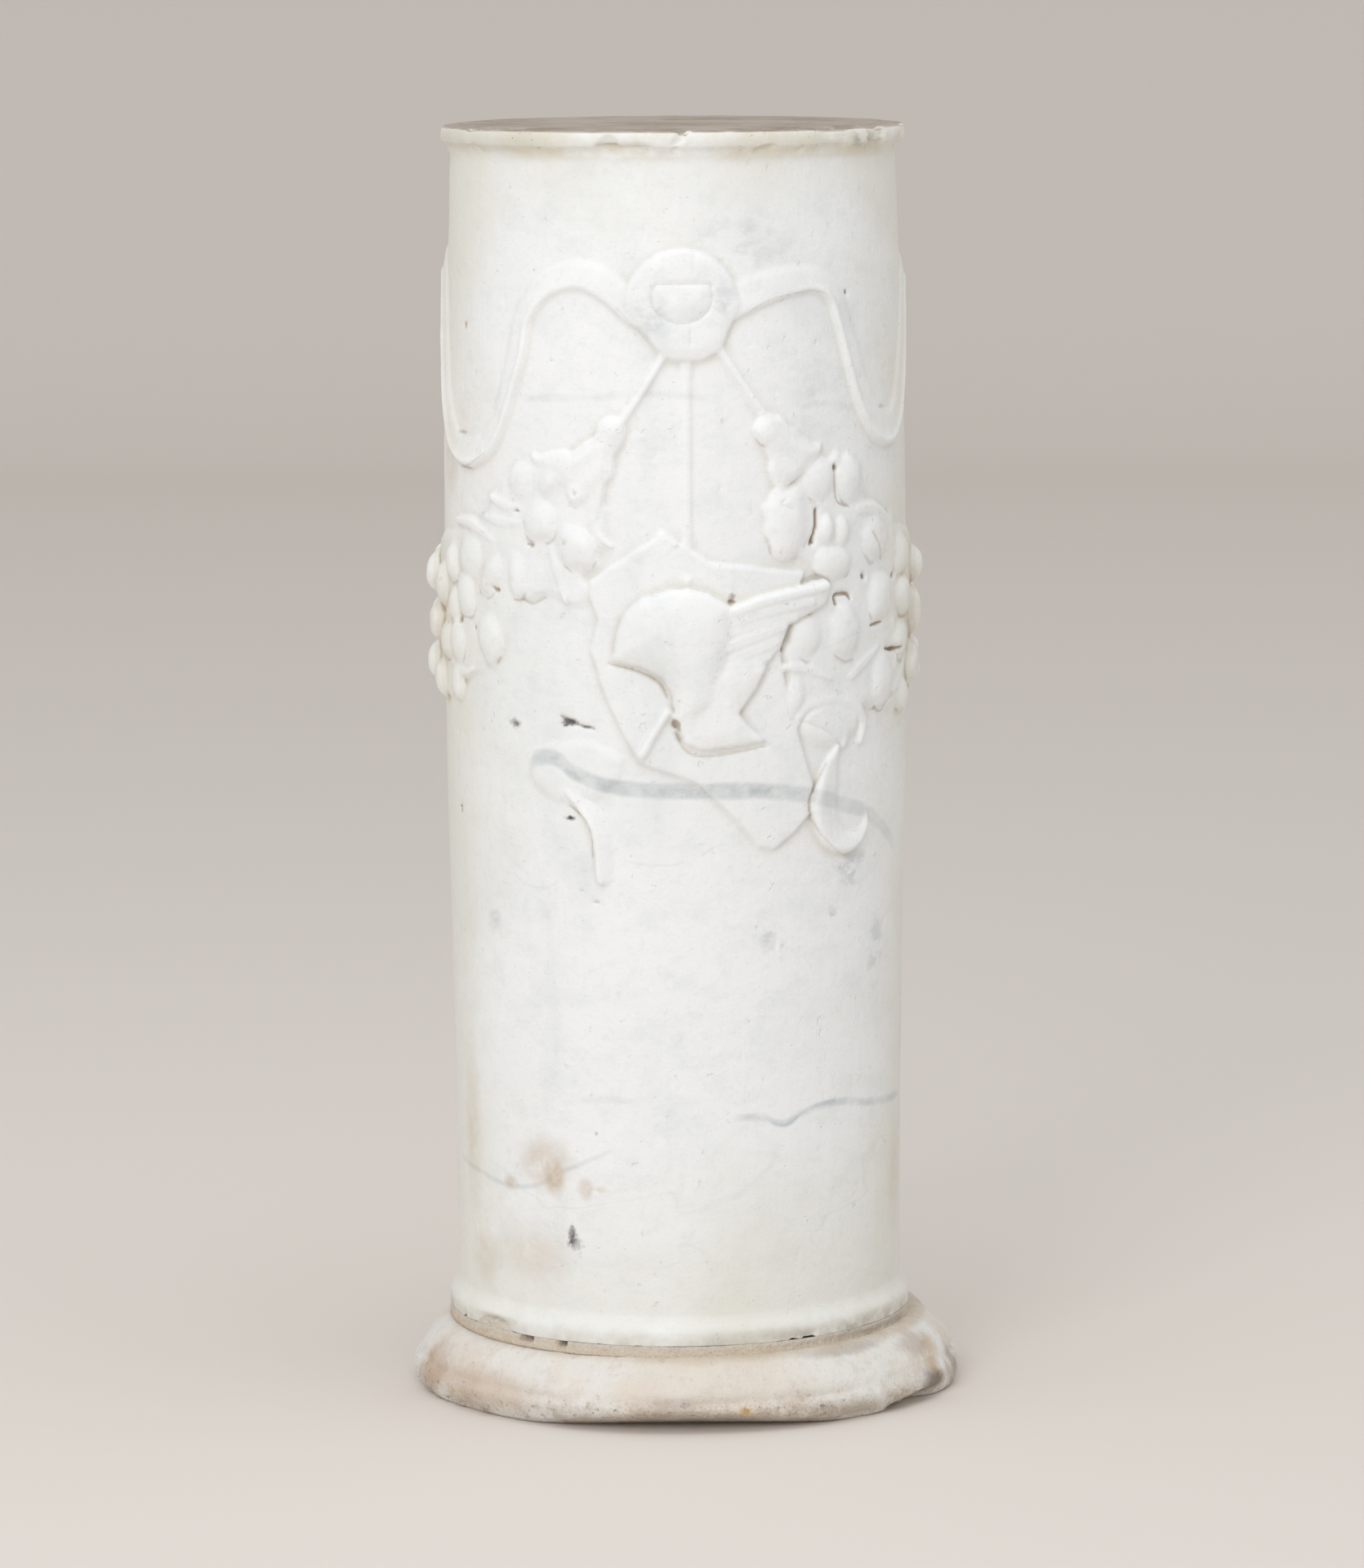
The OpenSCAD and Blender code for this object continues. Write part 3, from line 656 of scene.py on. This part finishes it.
def base_piece():
    """The round base: a torus slope over a band, chipped, with a corner broken off."""
    r, h = BASE_R, BASE_H
    seat, band = 131, 15
    outline = [
        (1, 0), (r - 14, 0), (r - 4.5, 0.1), (r - 2.2, 1.4), (r - 0.8, 3.8), (r - 0.2, 7.5),
        (r - 0.5, band - 4), (r - 1.6, band - 1), (r - 3.2, band + 1), (r - 4.4, band + 2.6),
        (r - 5.2, band + 4.4), (r - 6.6, band + 7.8), (r - 9.2, band + 11.6), (r - 12.8, band + 15.4),
        (r - 17, band + 19), (seat + 0.8, h - 1.4), (seat - 1.6, h - 0.5), (seat - 6, h - 0.3), (1, h - 0.3)]
    rows = np.array(densify(outline, 1.25))
    rows = rows[(rows[:, 0] > seat - 7) | (np.arange(len(rows)) % 12 == 0)]
    T, Z, R, th, px, py = turned(rows, np.arange(-180, 180, 0.62))
    outer = smooth(R, seat - 8, seat - 2)
    nrm = normals(rows)
    top = smooth(Z, h - 4, h - 1)
    lumps = (-0.8 + 0.75 * fbm(px, py, Z, 40, 3, 101)) * (1 - 0.8 * top)
    H = outer * (lumps + 0.28 * fbm(px, py, Z, 7, 2, 103))
    low = 1 - smooth(Z, 3, 14)
    chip = smooth(fbm(px, py, Z * 0.7, 15, 3, 107), 0.12, 0.42)
    H = H - outer * low * 1.4 * chip
    line = np.exp(-((Z - band - 2.6) / 1.5) ** 2) * smooth(fbm(px, py, Z * 0, 50, 2, 105), -0.35, 0.1)
    H = H - outer * 0.9 * line
    R2 = R + H * nrm[:, :1]
    Z2 = np.where(Z < 1.5, Z, Z + H * nrm[:, 1:2])
    # the lower edge is worn back towards the front, and notched at the right
    front = 1 - smooth(np.abs(T), 35, 80)
    R2 = R2 - outer * (1 - smooth(Z, 0, 16)) * 5 * front
    notch = (np.exp(-((T - 60) / 5) ** 2) * (1 - smooth(Z, 3, 9))
             + 0.8 * np.exp(-((T - 52) / 3) ** 2) * (1 - smooth(Z, 1, 6)))
    R2 = R2 - outer * notch * 11
    # broken face: nothing is left in front of a low plane that rises from the underside
    spall_in, spall_h, blend = 32, 10.5, 11
    rough = 0.5 * fbm(px, py, Z + 20, 24, 3, 109)
    limit = (r - spall_in + Z2 * spall_in / spall_h + rough - 0.6) / np.maximum(np.cos(th), 0.05)
    limit = np.where((np.cos(th) > 0.1) & (Z < 30), limit, 1e4)
    R3 = -smooth_max(-R2, -limit, blend)
    broken = smooth(R2 - R3, 0.4, 4) * outer
    # a shallow scar that carries the break up into the band on the right of the middle
    scar = np.exp(-((T - 12) / 22) ** 2) * np.exp(-((Z - 14) / 6) ** 2) * outer
    R3 = R3 - 1.2 * scar
    P = np.stack([BX + R3 * np.sin(th), BY - R3 * np.cos(th), np.clip(Z2, 0, h - 0.01)], -1)
    P = np.clip(P, B_LO + 0.005, B_HI - 0.005)
    P[..., 2] = np.where(Z < 0.05, B_LO[2], P[..., 2])
    cavity = np.clip((blur(R3, 3) - R3) / 1.8, -1, 1) * outer
    return thin(rings_mesh("base_marble_skin", P, (("cavity", cavity), ("broken", broken))), BASE_TRIS)


def joint_piece():
    """Sandy mortar between shaft and base, crumbled at its edge, with two pockets gone."""
    z = np.linspace(BASE_H - 1.4, Z0 + 0.8, 9)
    edge = FOOT - 0.6
    inner = [1, edge - 12, edge - 3]
    rows = np.array([(q, BASE_H + 0.02) for q in inner] + [(edge, q) for q in z]
                    + [(q, Z0 - 0.02) for q in inner[::-1]])
    T, Z, R, th, px, py = turned(rows, np.arange(-180, 180, 0.6))
    outer = R > edge - 1
    down = 1 - (Z - z[0]) / (z[-1] - z[0])
    grit = 0.9 * fbm(px, py, Z, 14, 3, 131)
    R2 = R + outer * (-0.1 + 1.6 * down ** 2 + grit + 0.4 * fbm(px, py, Z, 2.6, 2, 137))
    upper = smooth(Z, BASE_H + 0.9, BASE_H + 2.2)
    for t, w in ((-41, 1.9), (-30, 1.1)):
        R2 = R2 - outer * 9 * np.exp(-((T - t) / w) ** 4) * upper
    R2 = np.minimum(R2, FOOT + 2.5)
    x, y = SX + R2 * np.sin(th) - BX, SY - R2 * np.cos(th) - BY
    keep = np.minimum(1, 132.6 / np.hypot(x, y))          # it never hangs over the base's slope
    return rings_mesh("mortar_bed", np.stack([BX + x * keep, BY + y * keep, Z], -1))


def patch_piece():
    """The mortar smeared into the chip at the foot, front left."""
    T, Z = np.meshgrid(np.linspace(-66, -41, 90), np.linspace(Z0 - 1, Z0 + 9, 26))
    th = np.radians(T)
    px, py = FOOT * np.sin(th), -FOOT * np.cos(th)
    d = np.hypot((T + 53.5) / 10.5, (Z - Z0 + 2) / 9.5) + 0.34 * fbm(px, py, Z, 7, 3, 139)
    R = FOOT - 0.9 + 0.5 * fbm(px, py, Z, 4, 3, 149) - 7 * smooth(d, 0.72, 1.15)
    outer = np.stack([SX + R * np.sin(th), SY - R * np.cos(th), Z], -1)
    inner = np.stack([SX + (FOOT - 9) * np.sin(th), SY - (FOOT - 9) * np.cos(th), Z], -1)
    return rings_mesh("mortar_patch", np.concatenate([outer, inner[:, ::-1]], 1))


# -------- materials
def operator(op, swapped=False):
    """A method that writes one arithmetic node."""
    def method(self, other):
        return Shade.math(op, other, self) if swapped else Shade.math(op, self, other)
    return method


class Shade:
    """A small way to write shader arithmetic: Shade values add, multiply and divide into nodes."""
    tree = None                         # the material being made
    coat = None                         # its colour so far

    def __init__(self, socket):
        self.s = socket

    @classmethod
    def make(cls, kind, inputs, out=0, **props):
        """One output of a new node, whose inputs are numbers, tuples or Shades."""
        n = cls.tree.nodes.new(kind)
        for k, v in props.items():
            setattr(n, k, v)
        for k, v in inputs.items():
            cls.put(n.inputs[k], v)
        return Shade(n.outputs[out])

    @classmethod
    def put(cls, socket, value):
        if isinstance(value, Shade):
            cls.tree.links.new(value.s, socket)
        else:
            socket.default_value = value

    @classmethod
    def math(cls, op, *args):
        return cls.make("ShaderNodeMath", dict(enumerate(args)), operation=op)

    __add__ = __radd__ = operator("ADD")
    __sub__, __rsub__ = operator("SUBTRACT"), operator("SUBTRACT", True)
    __mul__, __truediv__ = operator("MULTIPLY"), operator("DIVIDE")

    def abs(self):
        return Shade.math("ABSOLUTE", self)


def step(x, a, b, lo=0, hi=1):
    """lo at a, hi at b, and a soft step between."""
    ends = {"Value": x, "From Min": a, "From Max": b, "To Min": lo, "To Max": hi}
    return Shade.make("ShaderNodeMapRange", ends, interpolation_type="SMOOTHSTEP")


def noise_tex(vec, scale, detail, rough=0.5, distortion=0):
    look = {"Vector": vec, "Scale": scale, "Detail": detail, "Roughness": rough, "Distortion": distortion}
    return Shade.make("ShaderNodeTexNoise", look, "Fac")


def tex(p, x, y, z, scale, detail, rough=0.5, distortion=0, flat=1):
    """Noise shifted to a place of its own, and flattened that many times."""
    moved = Shade.make("ShaderNodeMapping", {"Vector": p, "Location": (x, y, z), "Scale": (1, 1, flat)})
    return noise_tex(moved, scale, detail, rough, distortion)


def mix(fac, a, b):
    a, b = (v if isinstance(v, Shade) else (*v, 1) for v in (a, b))
    return Shade.make("ShaderNodeMix", {0: fac, 6: a, 7: b}, 2, data_type="RGBA")


def srgb(r, g, b):
    return tuple(v / 255 / 12.92 if v <= 10 else ((v / 255 + 0.055) / 1.055) ** 2.4 for v in (r, g, b))


def over(fac, *rgb):
    """Lay a colour over the coat so far."""
    Shade.coat = mix(fac, Shade.coat, srgb(*rgb))


def curve(x, points):
    """A smooth curve through points in 0..1."""
    n = Shade.tree.nodes.new("ShaderNodeFloatCurve")
    Shade.put(n.inputs["Value"], x)
    c = n.mapping.curves[0]
    while len(c.points) < len(points):
        c.points.new(0.5, 0.5)
    for p, (a, b) in zip(c.points, points):
        p.location = (a, b)
    n.mapping.update()
    return Shade(n.outputs[0])


def position():
    return Shade.make("ShaderNodeTexCoord", {}, "Object")


def attribute(name):
    return Shade.make("ShaderNodeAttribute", {}, "Fac", attribute_name=name)


def split(vec):
    return [Shade.make("ShaderNodeSeparateXYZ", {0: vec}, i) for i in range(3)]


def unroll(vec, ax, ay):
    """Degrees round the axis (front 0, right positive) and millimetres up."""
    x, y, z = split(vec)
    a = Shade.math("ARCTAN2", x - ax * MM, (y - ay * MM) * -1) * (180 / math.pi)
    return a, z * 1000


def streak(th, z, wob, points, width, soft):
    """A vein along points of [degrees, height], as a soft line of that width in mm."""
    t0, t1 = points[0][0], points[-1][0]
    zs = [p[1] for p in points]
    z0, z1 = min(zs) - 12, max(zs) + 12
    u = (th - t0) / (t1 - t0)
    f = curve(u, [((p[0] - t0) / (t1 - t0), (p[1] - z0) / (z1 - z0)) for p in points]) * (z1 - z0) + z0
    d = (z - f + wob).abs()
    ends = step(u, -0.02, 0.05) * step(u, 1.02, 0.95)
    half = width * 0.5
    return (1 - step(d, half * (1 - 0.8 * soft), half * (1 + soft))) * ends


def spot(th, z, wob, t, h, rt, rz):
    """A soft stain at [degrees, height], half sizes in mm, with an uneven edge."""
    a, b = (th - t) * (DEG / rt), (z - h) / rz
    d = Shade.math("SQRT", a * a + b * b) + wob
    return 1 - step(d, 0.25, 1)


def material(name, rough, spec):
    m = bpy.data.materials.new(name)
    m.use_nodes = True
    Shade.tree = m.node_tree
    b = m.node_tree.nodes["Principled BSDF"]
    b.inputs["Roughness"].default_value = rough
    b.inputs["Specular IOR Level"].default_value = spec
    return m, b


def bump(b, height, distance, strength):
    look = {"Strength": strength, "Distance": distance, "Height": height}
    Shade.put(b.inputs["Normal"], Shade.make("ShaderNodeBump", look))


# veins and stains: degrees round, millimetres up
MAIN_VEIN = [
    [-38, 358], [-33, 364], [-25, 356], [-13, 348], [4, 347], [20, 346], [28, 344], [37, 340], [46, 334],
    [54, 329], [62, 319], [70, 306]]
VEIN_CORE = [[-38, 359], [-33, 364], [-25, 355], [-13, 347], [4, 347], [20, 346], [35, 344]]
# lesser veins: points, width, strength
THIN_VEINS = (
    ([[-40, 556], [-20, 558], [-10, 560], [0, 559], [8, 557]], 3.6, 0.14),
    ([[32, 551], [40, 552], [50, 548]], 3, 0.14),
    ([[14, 168], [22, 167], [27, 163], [33, 168], [42, 171], [58, 166], [80, 163]], 3.6, 0.42),
    ([[24, 164], [28, 162], [34, 169], [44, 172]], 1.8, 0.4),
    ([[-76, 131], [-62, 127], [-43, 125], [-30, 137], [-16, 151]], 2.6, 0.28),
    ([[-30, 174], [-18, 178], [-10, 176]], 3.6, 0.12), ([[100, 300], [140, 270], [175, 262]], 6, 0.6),
    ([[-170, 420], [-140, 395], [-110, 402]], 5, 0.55),
    ([[110, 160], [140, 176], [172, 170]], 4, 0.5), ([[-45, 300], [-38, 292], [-30, 296]], 1.6, 0.14),
    ([[6, 312], [9, 316], [12, 318]], 1.4, 0.2), ([[-12, 309], [-3, 307], [2, 309]], 1.4, 0.14))
# stains, and the dark spots of painted shade: degrees, height, half width, half height, strength
GREY_CLOUDS = (
    (23, 270, 7, 17, 0.4), (27, 258, 4, 8, 0.5), (42, 273, 5, 9, 0.5), (48, 300, 26, 16, 0.45),
    (-52, 270, 8, 10, 0.3), (60, 250, 12, 30, 0.3), (18, 640, 40, 18, 0.22), (40, 560, 30, 40, 0.14),
    (-5, 600, 14, 18, 0.3), (12, 611, 10, 14, 0.3))
RUST = (
    (-36, 140, 26, 20, 0.5), (-33, 132, 9, 13, 0.75), (-24, 128, 7, 9, 0.5), (-48, 126, 8, 6, 0.5),
    (-21, 159, 1.6, 1.6, 0.8), (-64, 593, 2.4, 3, 0.9), (-20, 128, 5, 3, 0.3), (-60, 80, 22, 20, 0.3),
    (75, 120, 20, 40, 0.25), (-74, 520, 20, 26, 0.35), (-80, 430, 26, 50, 0.3), (80, 430, 26, 50, 0.25),
    (-40, 88, 40, 24, 0.3), (-66, 150, 16, 60, 0.3))
# dark spots in pits, drilled holes, slots and at the left ribbon's loop: painted shade, with some dirt
DARK_SPOTS = (
    (-62, 516, 12, 1.3, 0.4), (-64, 535, 8, 1.6, 0.4), (62, 548, 7, 2, 0.3), (-27, 383, 6.5, 3, 0.85),
    (-22, 381, 5, 1.2, 0.6), (-43, 380, 6, 3.4, 0.4), (-27, 331, 4, 1.8, 0.7), (-28, 101, 3.6, 7.5, 0.8),
    (-27, 97, 6, 5, 0.35), (48, 611, 1.4, 2, 0.7), (-68, 486, 2, 3, 0.6), (-68, 328, 2, 3, 0.7),
    (66, 415, 6, 2.4, 0.6), (13.6, 452, 3.2, 2.4, 0.6))
# and on the base, each with its colour; the darkest, in the notch on the right, is painted shade
BASE_STAINS_AND_SHADE = (
    (12, 12, 3.2, 2.6, 0.85, (196, 146, 78)), (12, 12, 7, 5, 0.35, (214, 190, 150)),
    (-58, 9, 2.6, 2.2, 0.9, (214, 170, 60)), (66, 17, 10, 16, 0.6, (196, 164, 124)),
    (70, 26, 8, 8, 0.5, (200, 172, 130)), (-66, 13, 14, 8, 0.5, (176, 146, 116)),
    (-74, 20, 6, 7, 0.45, (190, 162, 124)), (2, 36, 14, 3, 0.35, (206, 182, 150)),
    (-3, 13, 20, 8, 0.5, (168, 152, 138)), (40, 6, 14, 6, 0.4, (168, 152, 130)),
    (-50, 15, 60, 14, 0.6, (200, 178, 158)), (-70, 18, 26, 18, 0.5, (186, 160, 136)),
    (64, 10, 16, 9, 0.8, (110, 96, 86)), (78, 14, 9, 12, 0.45, (120, 106, 96)),
    (64, 30, 24, 8, 0.5, (168, 146, 126)), (40, 36, 40, 4, 0.5, (150, 136, 124)))


def shaft_marble():
    m, b = material("worn_white_marble", 0.5, 0.35)
    p = position()
    th, z = unroll(p, SX, SY)
    n_big = noise_tex(p, 5, 4)
    n_mid = tex(p, 3, 1, 7, 18, 5, 0.6)
    n_fine = tex(p, 1, 9, 2, 90, 4, 0.6)
    wander = (n_mid - 0.5) * 5
    edge = (n_fine - 0.5) * 0.7
    Shade.coat = mix(step(n_big, 0.35, 0.7), srgb(241, 242, 242), srgb(235, 237, 236))
    mottle = tex(p, 4, 8, 1, 42, 6, 0.68, flat=1.5)
    over(step(mottle, 0.46, 0.66) * 0.34, 222, 226, 226)
    over(step(tex(p, 7, 2, 2, 240, 4, 0.7), 0.52, 0.68) * 0.2, 216, 217, 213)
    # faint clouds of blue-grey in the body of the stone
    cloud = step(tex(p, 2, 4, 0, 9, 5, 0.62, 1.2, flat=0.45), 0.52, 0.74)
    over(cloud * 0.22, 200, 206, 208)
    # thin wandering veins all over, very faint
    w1 = (tex(p, 8, 3, 1, 6, 3, 0.5, 0.8, flat=2.2) - 0.5).abs()
    fine = (1 - step(w1, 0, 0.014)) * step(tex(p, 1, 7, 3, 7, 2), 0.5, 0.68)
    over(fine * 0.14, 176, 184, 188)
    # warm, greenish cream where weather has been: sides, neck, foot
    side = step((th - 4).abs(), 38, 86)
    ends = step(z, 610, 690) * 0.14 + step(z, 210, 60) * 0.2
    warm = step(n_mid * 0.5 + n_big * 0.5 + side * 0.28 + ends, 0.52, 0.86)
    over(warm * 0.55, 224, 220, 205)
    # the veins that show
    far = step(th, 24, 36, 1, 0.6)
    main = streak(th, z, wander, MAIN_VEIN, 8, 0.45) * far
    over(main * step(mottle * 0.5 + n_fine * 0.5, 0.34, 0.6, 0.35, 0.82), 194, 200, 202)
    core = streak(th, z, wander, VEIN_CORE, 3, 0.9)
    over(core * step(n_fine, 0.45, 0.65) * 0.22, 150, 158, 165)
    broken = step(mottle * 0.6 + n_fine * 0.4, 0.36, 0.6, 0.35, 1.1)
    for pts, w, k in THIN_VEINS:
        over(streak(th, z, wander, pts, w, 0.9) * broken * k, 176, 184, 189)
    for t, h, rt, rz, k in GREY_CLOUDS:
        broken = step(tex(p, t * 0.1, 2, 3, 60, 4, 0.65, flat=1.6), 0.42, 0.62)
        over(spot(th, z, edge, t, h, rt, rz) * broken * k, 160, 170, 178)
    # rust and ochre
    for t, h, rt, rz, k in RUST:
        over(spot(th, z, edge, t, h, rt, rz) * step(n_fine, 0.3, 0.6, 0.35, 1) * k, 196, 172, 142)
    # dirt and painted shade in hollows, drilled holes and behind the relief
    cav, wide = attribute("cavity"), attribute("wide")
    grime_and_shade = step(cav + wide * 0.55 + (n_mid - 0.5) * 0.5, 0.16, 0.95)
    over(grime_and_shade * (side * 0.3 + 0.34), 202, 191, 170)
    # darker brown in the deepest hollows, more on the sides: painted shade with dirt
    over(step(cav + side * 0.25 + (n_fine - 0.5) * 0.4, 0.6, 1.15) * 0.5, 132, 120, 104)
    grainy = (tex(p, 3, 8, 8, 300, 4, 0.75) - 0.5) * 1.8
    # dark brown lines along cuts, drilled holes, ribbon and cloth edges and under the fruit: painted shade
    # with dirt
    over(step(attribute("crease") + grainy * 0.14, 0.14, 0.95) * 0.58, 152, 126, 100)
    # near white on the proud edges: painted highlight
    over(step(cav, -0.12, -0.7) * 0.42, 245, 246, 246)
    # dark spots, brown up in the carving and near black below it: painted shade in pits and holes, with some
    # dirt
    for t, h, rt, rz, k in DARK_SPOTS:
        tone = (132, 106, 84) if h > 400 else (62, 57, 53)
        over(spot(th, z, grainy, t, h, rt, rz) * k, *tone)
    # the roll is stained and speckled, the band just under it is darker tan, the top face is brown with dust
    ring = step(z, TOP - RING_H - 4, TOP - RING_H + 1)
    over(ring * step(n_mid + n_fine * 0.35, 0.5, 0.9) * 0.5, 212, 200, 172)
    speck = step(tex(p, 4, 4, 4, 420, 2), 0.68, 0.74) * step(n_mid, 0.5, 0.66)
    over((ring * 0.9 + 0.12) * speck, 84, 76, 66)
    over(ring * spot(th, z, edge, 54, 693, 16, 7) * step(n_fine, 0.4, 0.56) * 0.5, 116, 108, 98)
    over(ring * spot(th, z, edge, -56, 692, 90, 20) * 0.5, 206, 202, 188)
    under = step(z, TOP - RING_H - 7, TOP - RING_H - 2) * step(z, TOP - RING_H + 3, TOP - RING_H - 1)
    over(under * step(n_mid, 0.4, 0.6) * 0.35, 208, 192, 162)
    facing_up = split(Shade.make("ShaderNodeNewGeometry", {}, "Normal"))[2]
    up = step(facing_up, 0.55, 0.92) * step(z, TOP - 6, TOP - 1.6)
    dust = mix(step(n_mid + (n_fine - 0.5) * 0.6, 0.35, 0.7), srgb(168, 156, 144), srgb(142, 128, 114))
    Shade.coat = mix(up * 0.95, Shade.coat, dust)
    # dirt rising from the joint at the foot
    foot = step(z, Z0 + 12, Z0 + 0.5)
    right = step(th, 12, 44) * step(th, 78, 64)
    rising = foot * step(n_mid + n_fine * 0.4, 0.5, 0.9) * 0.5
    over(rising + foot * right * step(n_fine, 0.3, 0.6) * 0.4, 158, 140, 116)
    Shade.put(b.inputs["Base Color"], Shade.coat)
    grain = tex(p, 0, 2, 6, 700, 3, 0.6)
    comb = tex(p, 0, 0, 0, 260, 3, 0.6, flat=0.12)
    pitn = step(tex(p, 6, 6, 1, 160, 3, 0.6), 0.66, 0.78)
    h = grain * 0.25 + n_fine * 0.9 + comb * 0.35 - pitn * 0.9
    bump(b, h, 0.0011, 0.55)
    Shade.put(b.inputs["Roughness"], step(n_mid, 0.3, 0.7, 0.46, 0.62) + grime_and_shade * 0.15)
    return m


def base_marble():
    m, b = material("dirty_cream_marble", 0.6, 0.3)
    p = position()
    th, z = unroll(p, BX, BY)
    n_big = tex(p, 3, 3, 3, 9, 4)
    n_mid = tex(p, 3, 1, 2, 26, 5, 0.62)
    n_fine = tex(p, 1, 9, 4, 120, 4, 0.65)
    edge = (n_fine - 0.5) * 0.8
    Shade.coat = mix(step(n_big, 0.35, 0.66), srgb(229, 228, 224), srgb(221, 213, 202))
    over(step(n_mid, 0.46, 0.72) * 0.55, 219, 201, 182)
    over(step(tex(p, 5, 1, 6, 70, 6, 0.7), 0.5, 0.66) * 0.35, 204, 192, 178)
    pink = step(tex(p, 9, 9, 9, 14, 4, 0.6), 0.54, 0.72)
    over(pink * 0.4, 214, 192, 178)
    cav, broken = attribute("cavity"), attribute("broken")
    # darker tan in the base's hollows, chips and notch: dirt and painted shade
    over(step(cav + (n_mid - 0.5) * 0.6, 0.15, 0.8) * 0.6, 190, 168, 140)
    low = step(z, 23, 7)
    over(low * step(n_mid * 0.7 + n_fine * 0.45, 0.5, 0.76) * 0.55, 158, 138, 118)
    grit = step(tex(p, 8, 5, 1, 520, 4, 0.75), 0.42, 0.6)
    over(low * step(n_big * 0.5 + n_mid * 0.5, 0.44, 0.58) * grit * 0.6, 158, 144, 130)
    specks = step(tex(p, 2, 5, 1, 380, 3, 0.7), 0.62, 0.72)
    over(low * specks * 0.8 + specks * 0.12, 70, 60, 50)
    over(broken * step(n_fine, 0.35, 0.62) * 0.35, 196, 184, 170)
    # stains on the base; the darkest, in the notch on the right, is painted shade
    for t, h, rt, rz, k, tone in BASE_STAINS_AND_SHADE:
        over(spot(th, z, edge, t, h, rt, rz) * k, *tone)
    seat = step(z, BASE_H - 5, BASE_H - 0.8)
    over(seat * step(n_mid + n_fine * 0.3, 0.4, 0.75, 0.25, 0.8), 196, 182, 162)
    Shade.put(b.inputs["Base Color"], Shade.coat)
    pitn = step(tex(p, 6, 6, 1, 210, 3, 0.6), 0.62, 0.76)
    h = n_fine + n_mid * 0.8 + noise_tex(p, 640, 3, 0.6) * 0.35 - pitn * (0.4 + low * 1.2)
    bump(b, h, 0.0016, 0.7)
    return m


def mortar_look():
    m, b = material("sandy_mortar", 0.95, 0.15)
    p = position()
    th, z = unroll(p, SX, SY)
    n1, n2 = noise_tex(p, 60, 5, 0.65), tex(p, 2, 2, 2, 500, 3, 0.7)
    Shade.coat = mix(step(n1, 0.3, 0.7), srgb(222, 210, 193), srgb(204, 188, 168))
    over(step(n2, 0.56, 0.7) * 0.35, 150, 132, 112)
    over(step(n2, 0.4, 0.3) * 0.5, 224, 212, 194)
    dark = step(th, 16, 50) * step(th, 84, 66)
    over(dark * step(n1, 0.35, 0.6, 0.5, 1) * 0.5, 140, 128, 120)
    ragged = (n1 - 0.5) * 5
    over(step(z + ragged, Z0 - 1.6, Z0 + 0.4) * 0.6, 222, 217, 207)
    over(step(z + ragged, BASE_H + 1.2, BASE_H - 0.4) * 0.6, 206, 192, 174)
    Shade.put(b.inputs["Base Color"], Shade.coat)
    bump(b, n1 * 0.6 + n2, 0.002, 0.9)
    return m


# -------- build
shaft = shaft_piece()
shaft.data.materials.append(shaft_marble())
base = base_piece()
base.data.materials.append(base_marble())
mortar = joint_piece()
patch = patch_piece()
for o in bpy.context.selected_objects:
    o.select_set(False)
mortar.select_set(True)
patch.select_set(True)
bpy.context.view_layer.objects.active = mortar
bpy.ops.object.join()
mortar.data.materials.append(mortar_look())
for piece, node, sl in ((shaft, "shaft", "shaft_marble"), (base, "base", "base_marble"),
                        (mortar, "mortar_joint", "mortar")):
    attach(piece, "root")
    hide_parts(node)


# -------- a pale floor that turns up into a plain backdrop (m)
Y0, Y1, TURN_R, HALF, HIGH = -8, 7, 1.2, 9, 5
turns = np.linspace(0, math.pi / 2, 24)
prof = [(Y1 - TURN_R + TURN_R * math.sin(a), TURN_R - TURN_R * math.cos(a)) for a in turns]
prof = [(Y0, 0)] + prof + [(Y1, HIGH)]
verts = [(x, y, z) for y, z in prof for x in (-HALF, HALF)]
faces = [(2 * i, 2 * i + 1, 2 * i + 3, 2 * i + 2) for i in range(len(prof) - 1)]
me = bpy.data.meshes.new("studio_floor")
me.from_pydata(verts, [], faces)
me.polygons.foreach_set("use_smooth", [True] * len(faces))
stage = bpy.data.objects.new("studio_floor", me)
bpy.context.scene.collection.objects.link(stage)
pale, b = material("pale_floor", 0.9, 0.1)
b.inputs["Base Color"].default_value = (*srgb(224, 217, 210), 1)
me.materials.append(pale)

# -------- soft lamps turned to the column, and the camera
for name, at, size, watts in (("key", (-1.1, -2.7, 1.5), (1.2, 1.2), 25),
                              ("top", (0.2, -0.6, 2.6), (2.2, 1.6), 12)):
    d = bpy.data.lights.new(name, "AREA")
    d.shape, d.size, d.size_y = "RECTANGLE", size[0], size[1]
    d.energy = watts
    o = bpy.data.objects.new(name, d)
    o.location = at
    o.rotation_euler = (Vector((0, 0, 0.4)) - Vector(at)).to_track_quat("-Z", "Y").to_euler()
    bpy.context.scene.collection.objects.link(o)
world = bpy.data.worlds.new("soft_room")
bpy.context.scene.world = world
world.use_nodes = True
world.node_tree.nodes["Background"].inputs["Color"].default_value = (0.98, 0.99, 1, 1)
world.node_tree.nodes["Background"].inputs["Strength"].default_value = 0.75

cam_data = bpy.data.cameras.new("camera")
cam_data.lens, cam_data.sensor_width, cam_data.clip_end = 146.4, 36, 30
TILT, ROLL = math.radians(7.73), math.radians(-0.34)
camera = bpy.data.objects.new("camera", cam_data)
camera.location = (SX * MM + 0.0031, SY * MM - 3.509, 0.8102)
turn = Matrix.Rotation(math.pi / 2 - TILT, 4, "X") @ Matrix.Rotation(ROLL, 4, "Z")
camera.rotation_euler = turn.to_euler()
bpy.context.scene.collection.objects.link(camera)
bpy.context.scene.camera = camera
bpy.context.scene.view_settings.view_transform = "Standard"
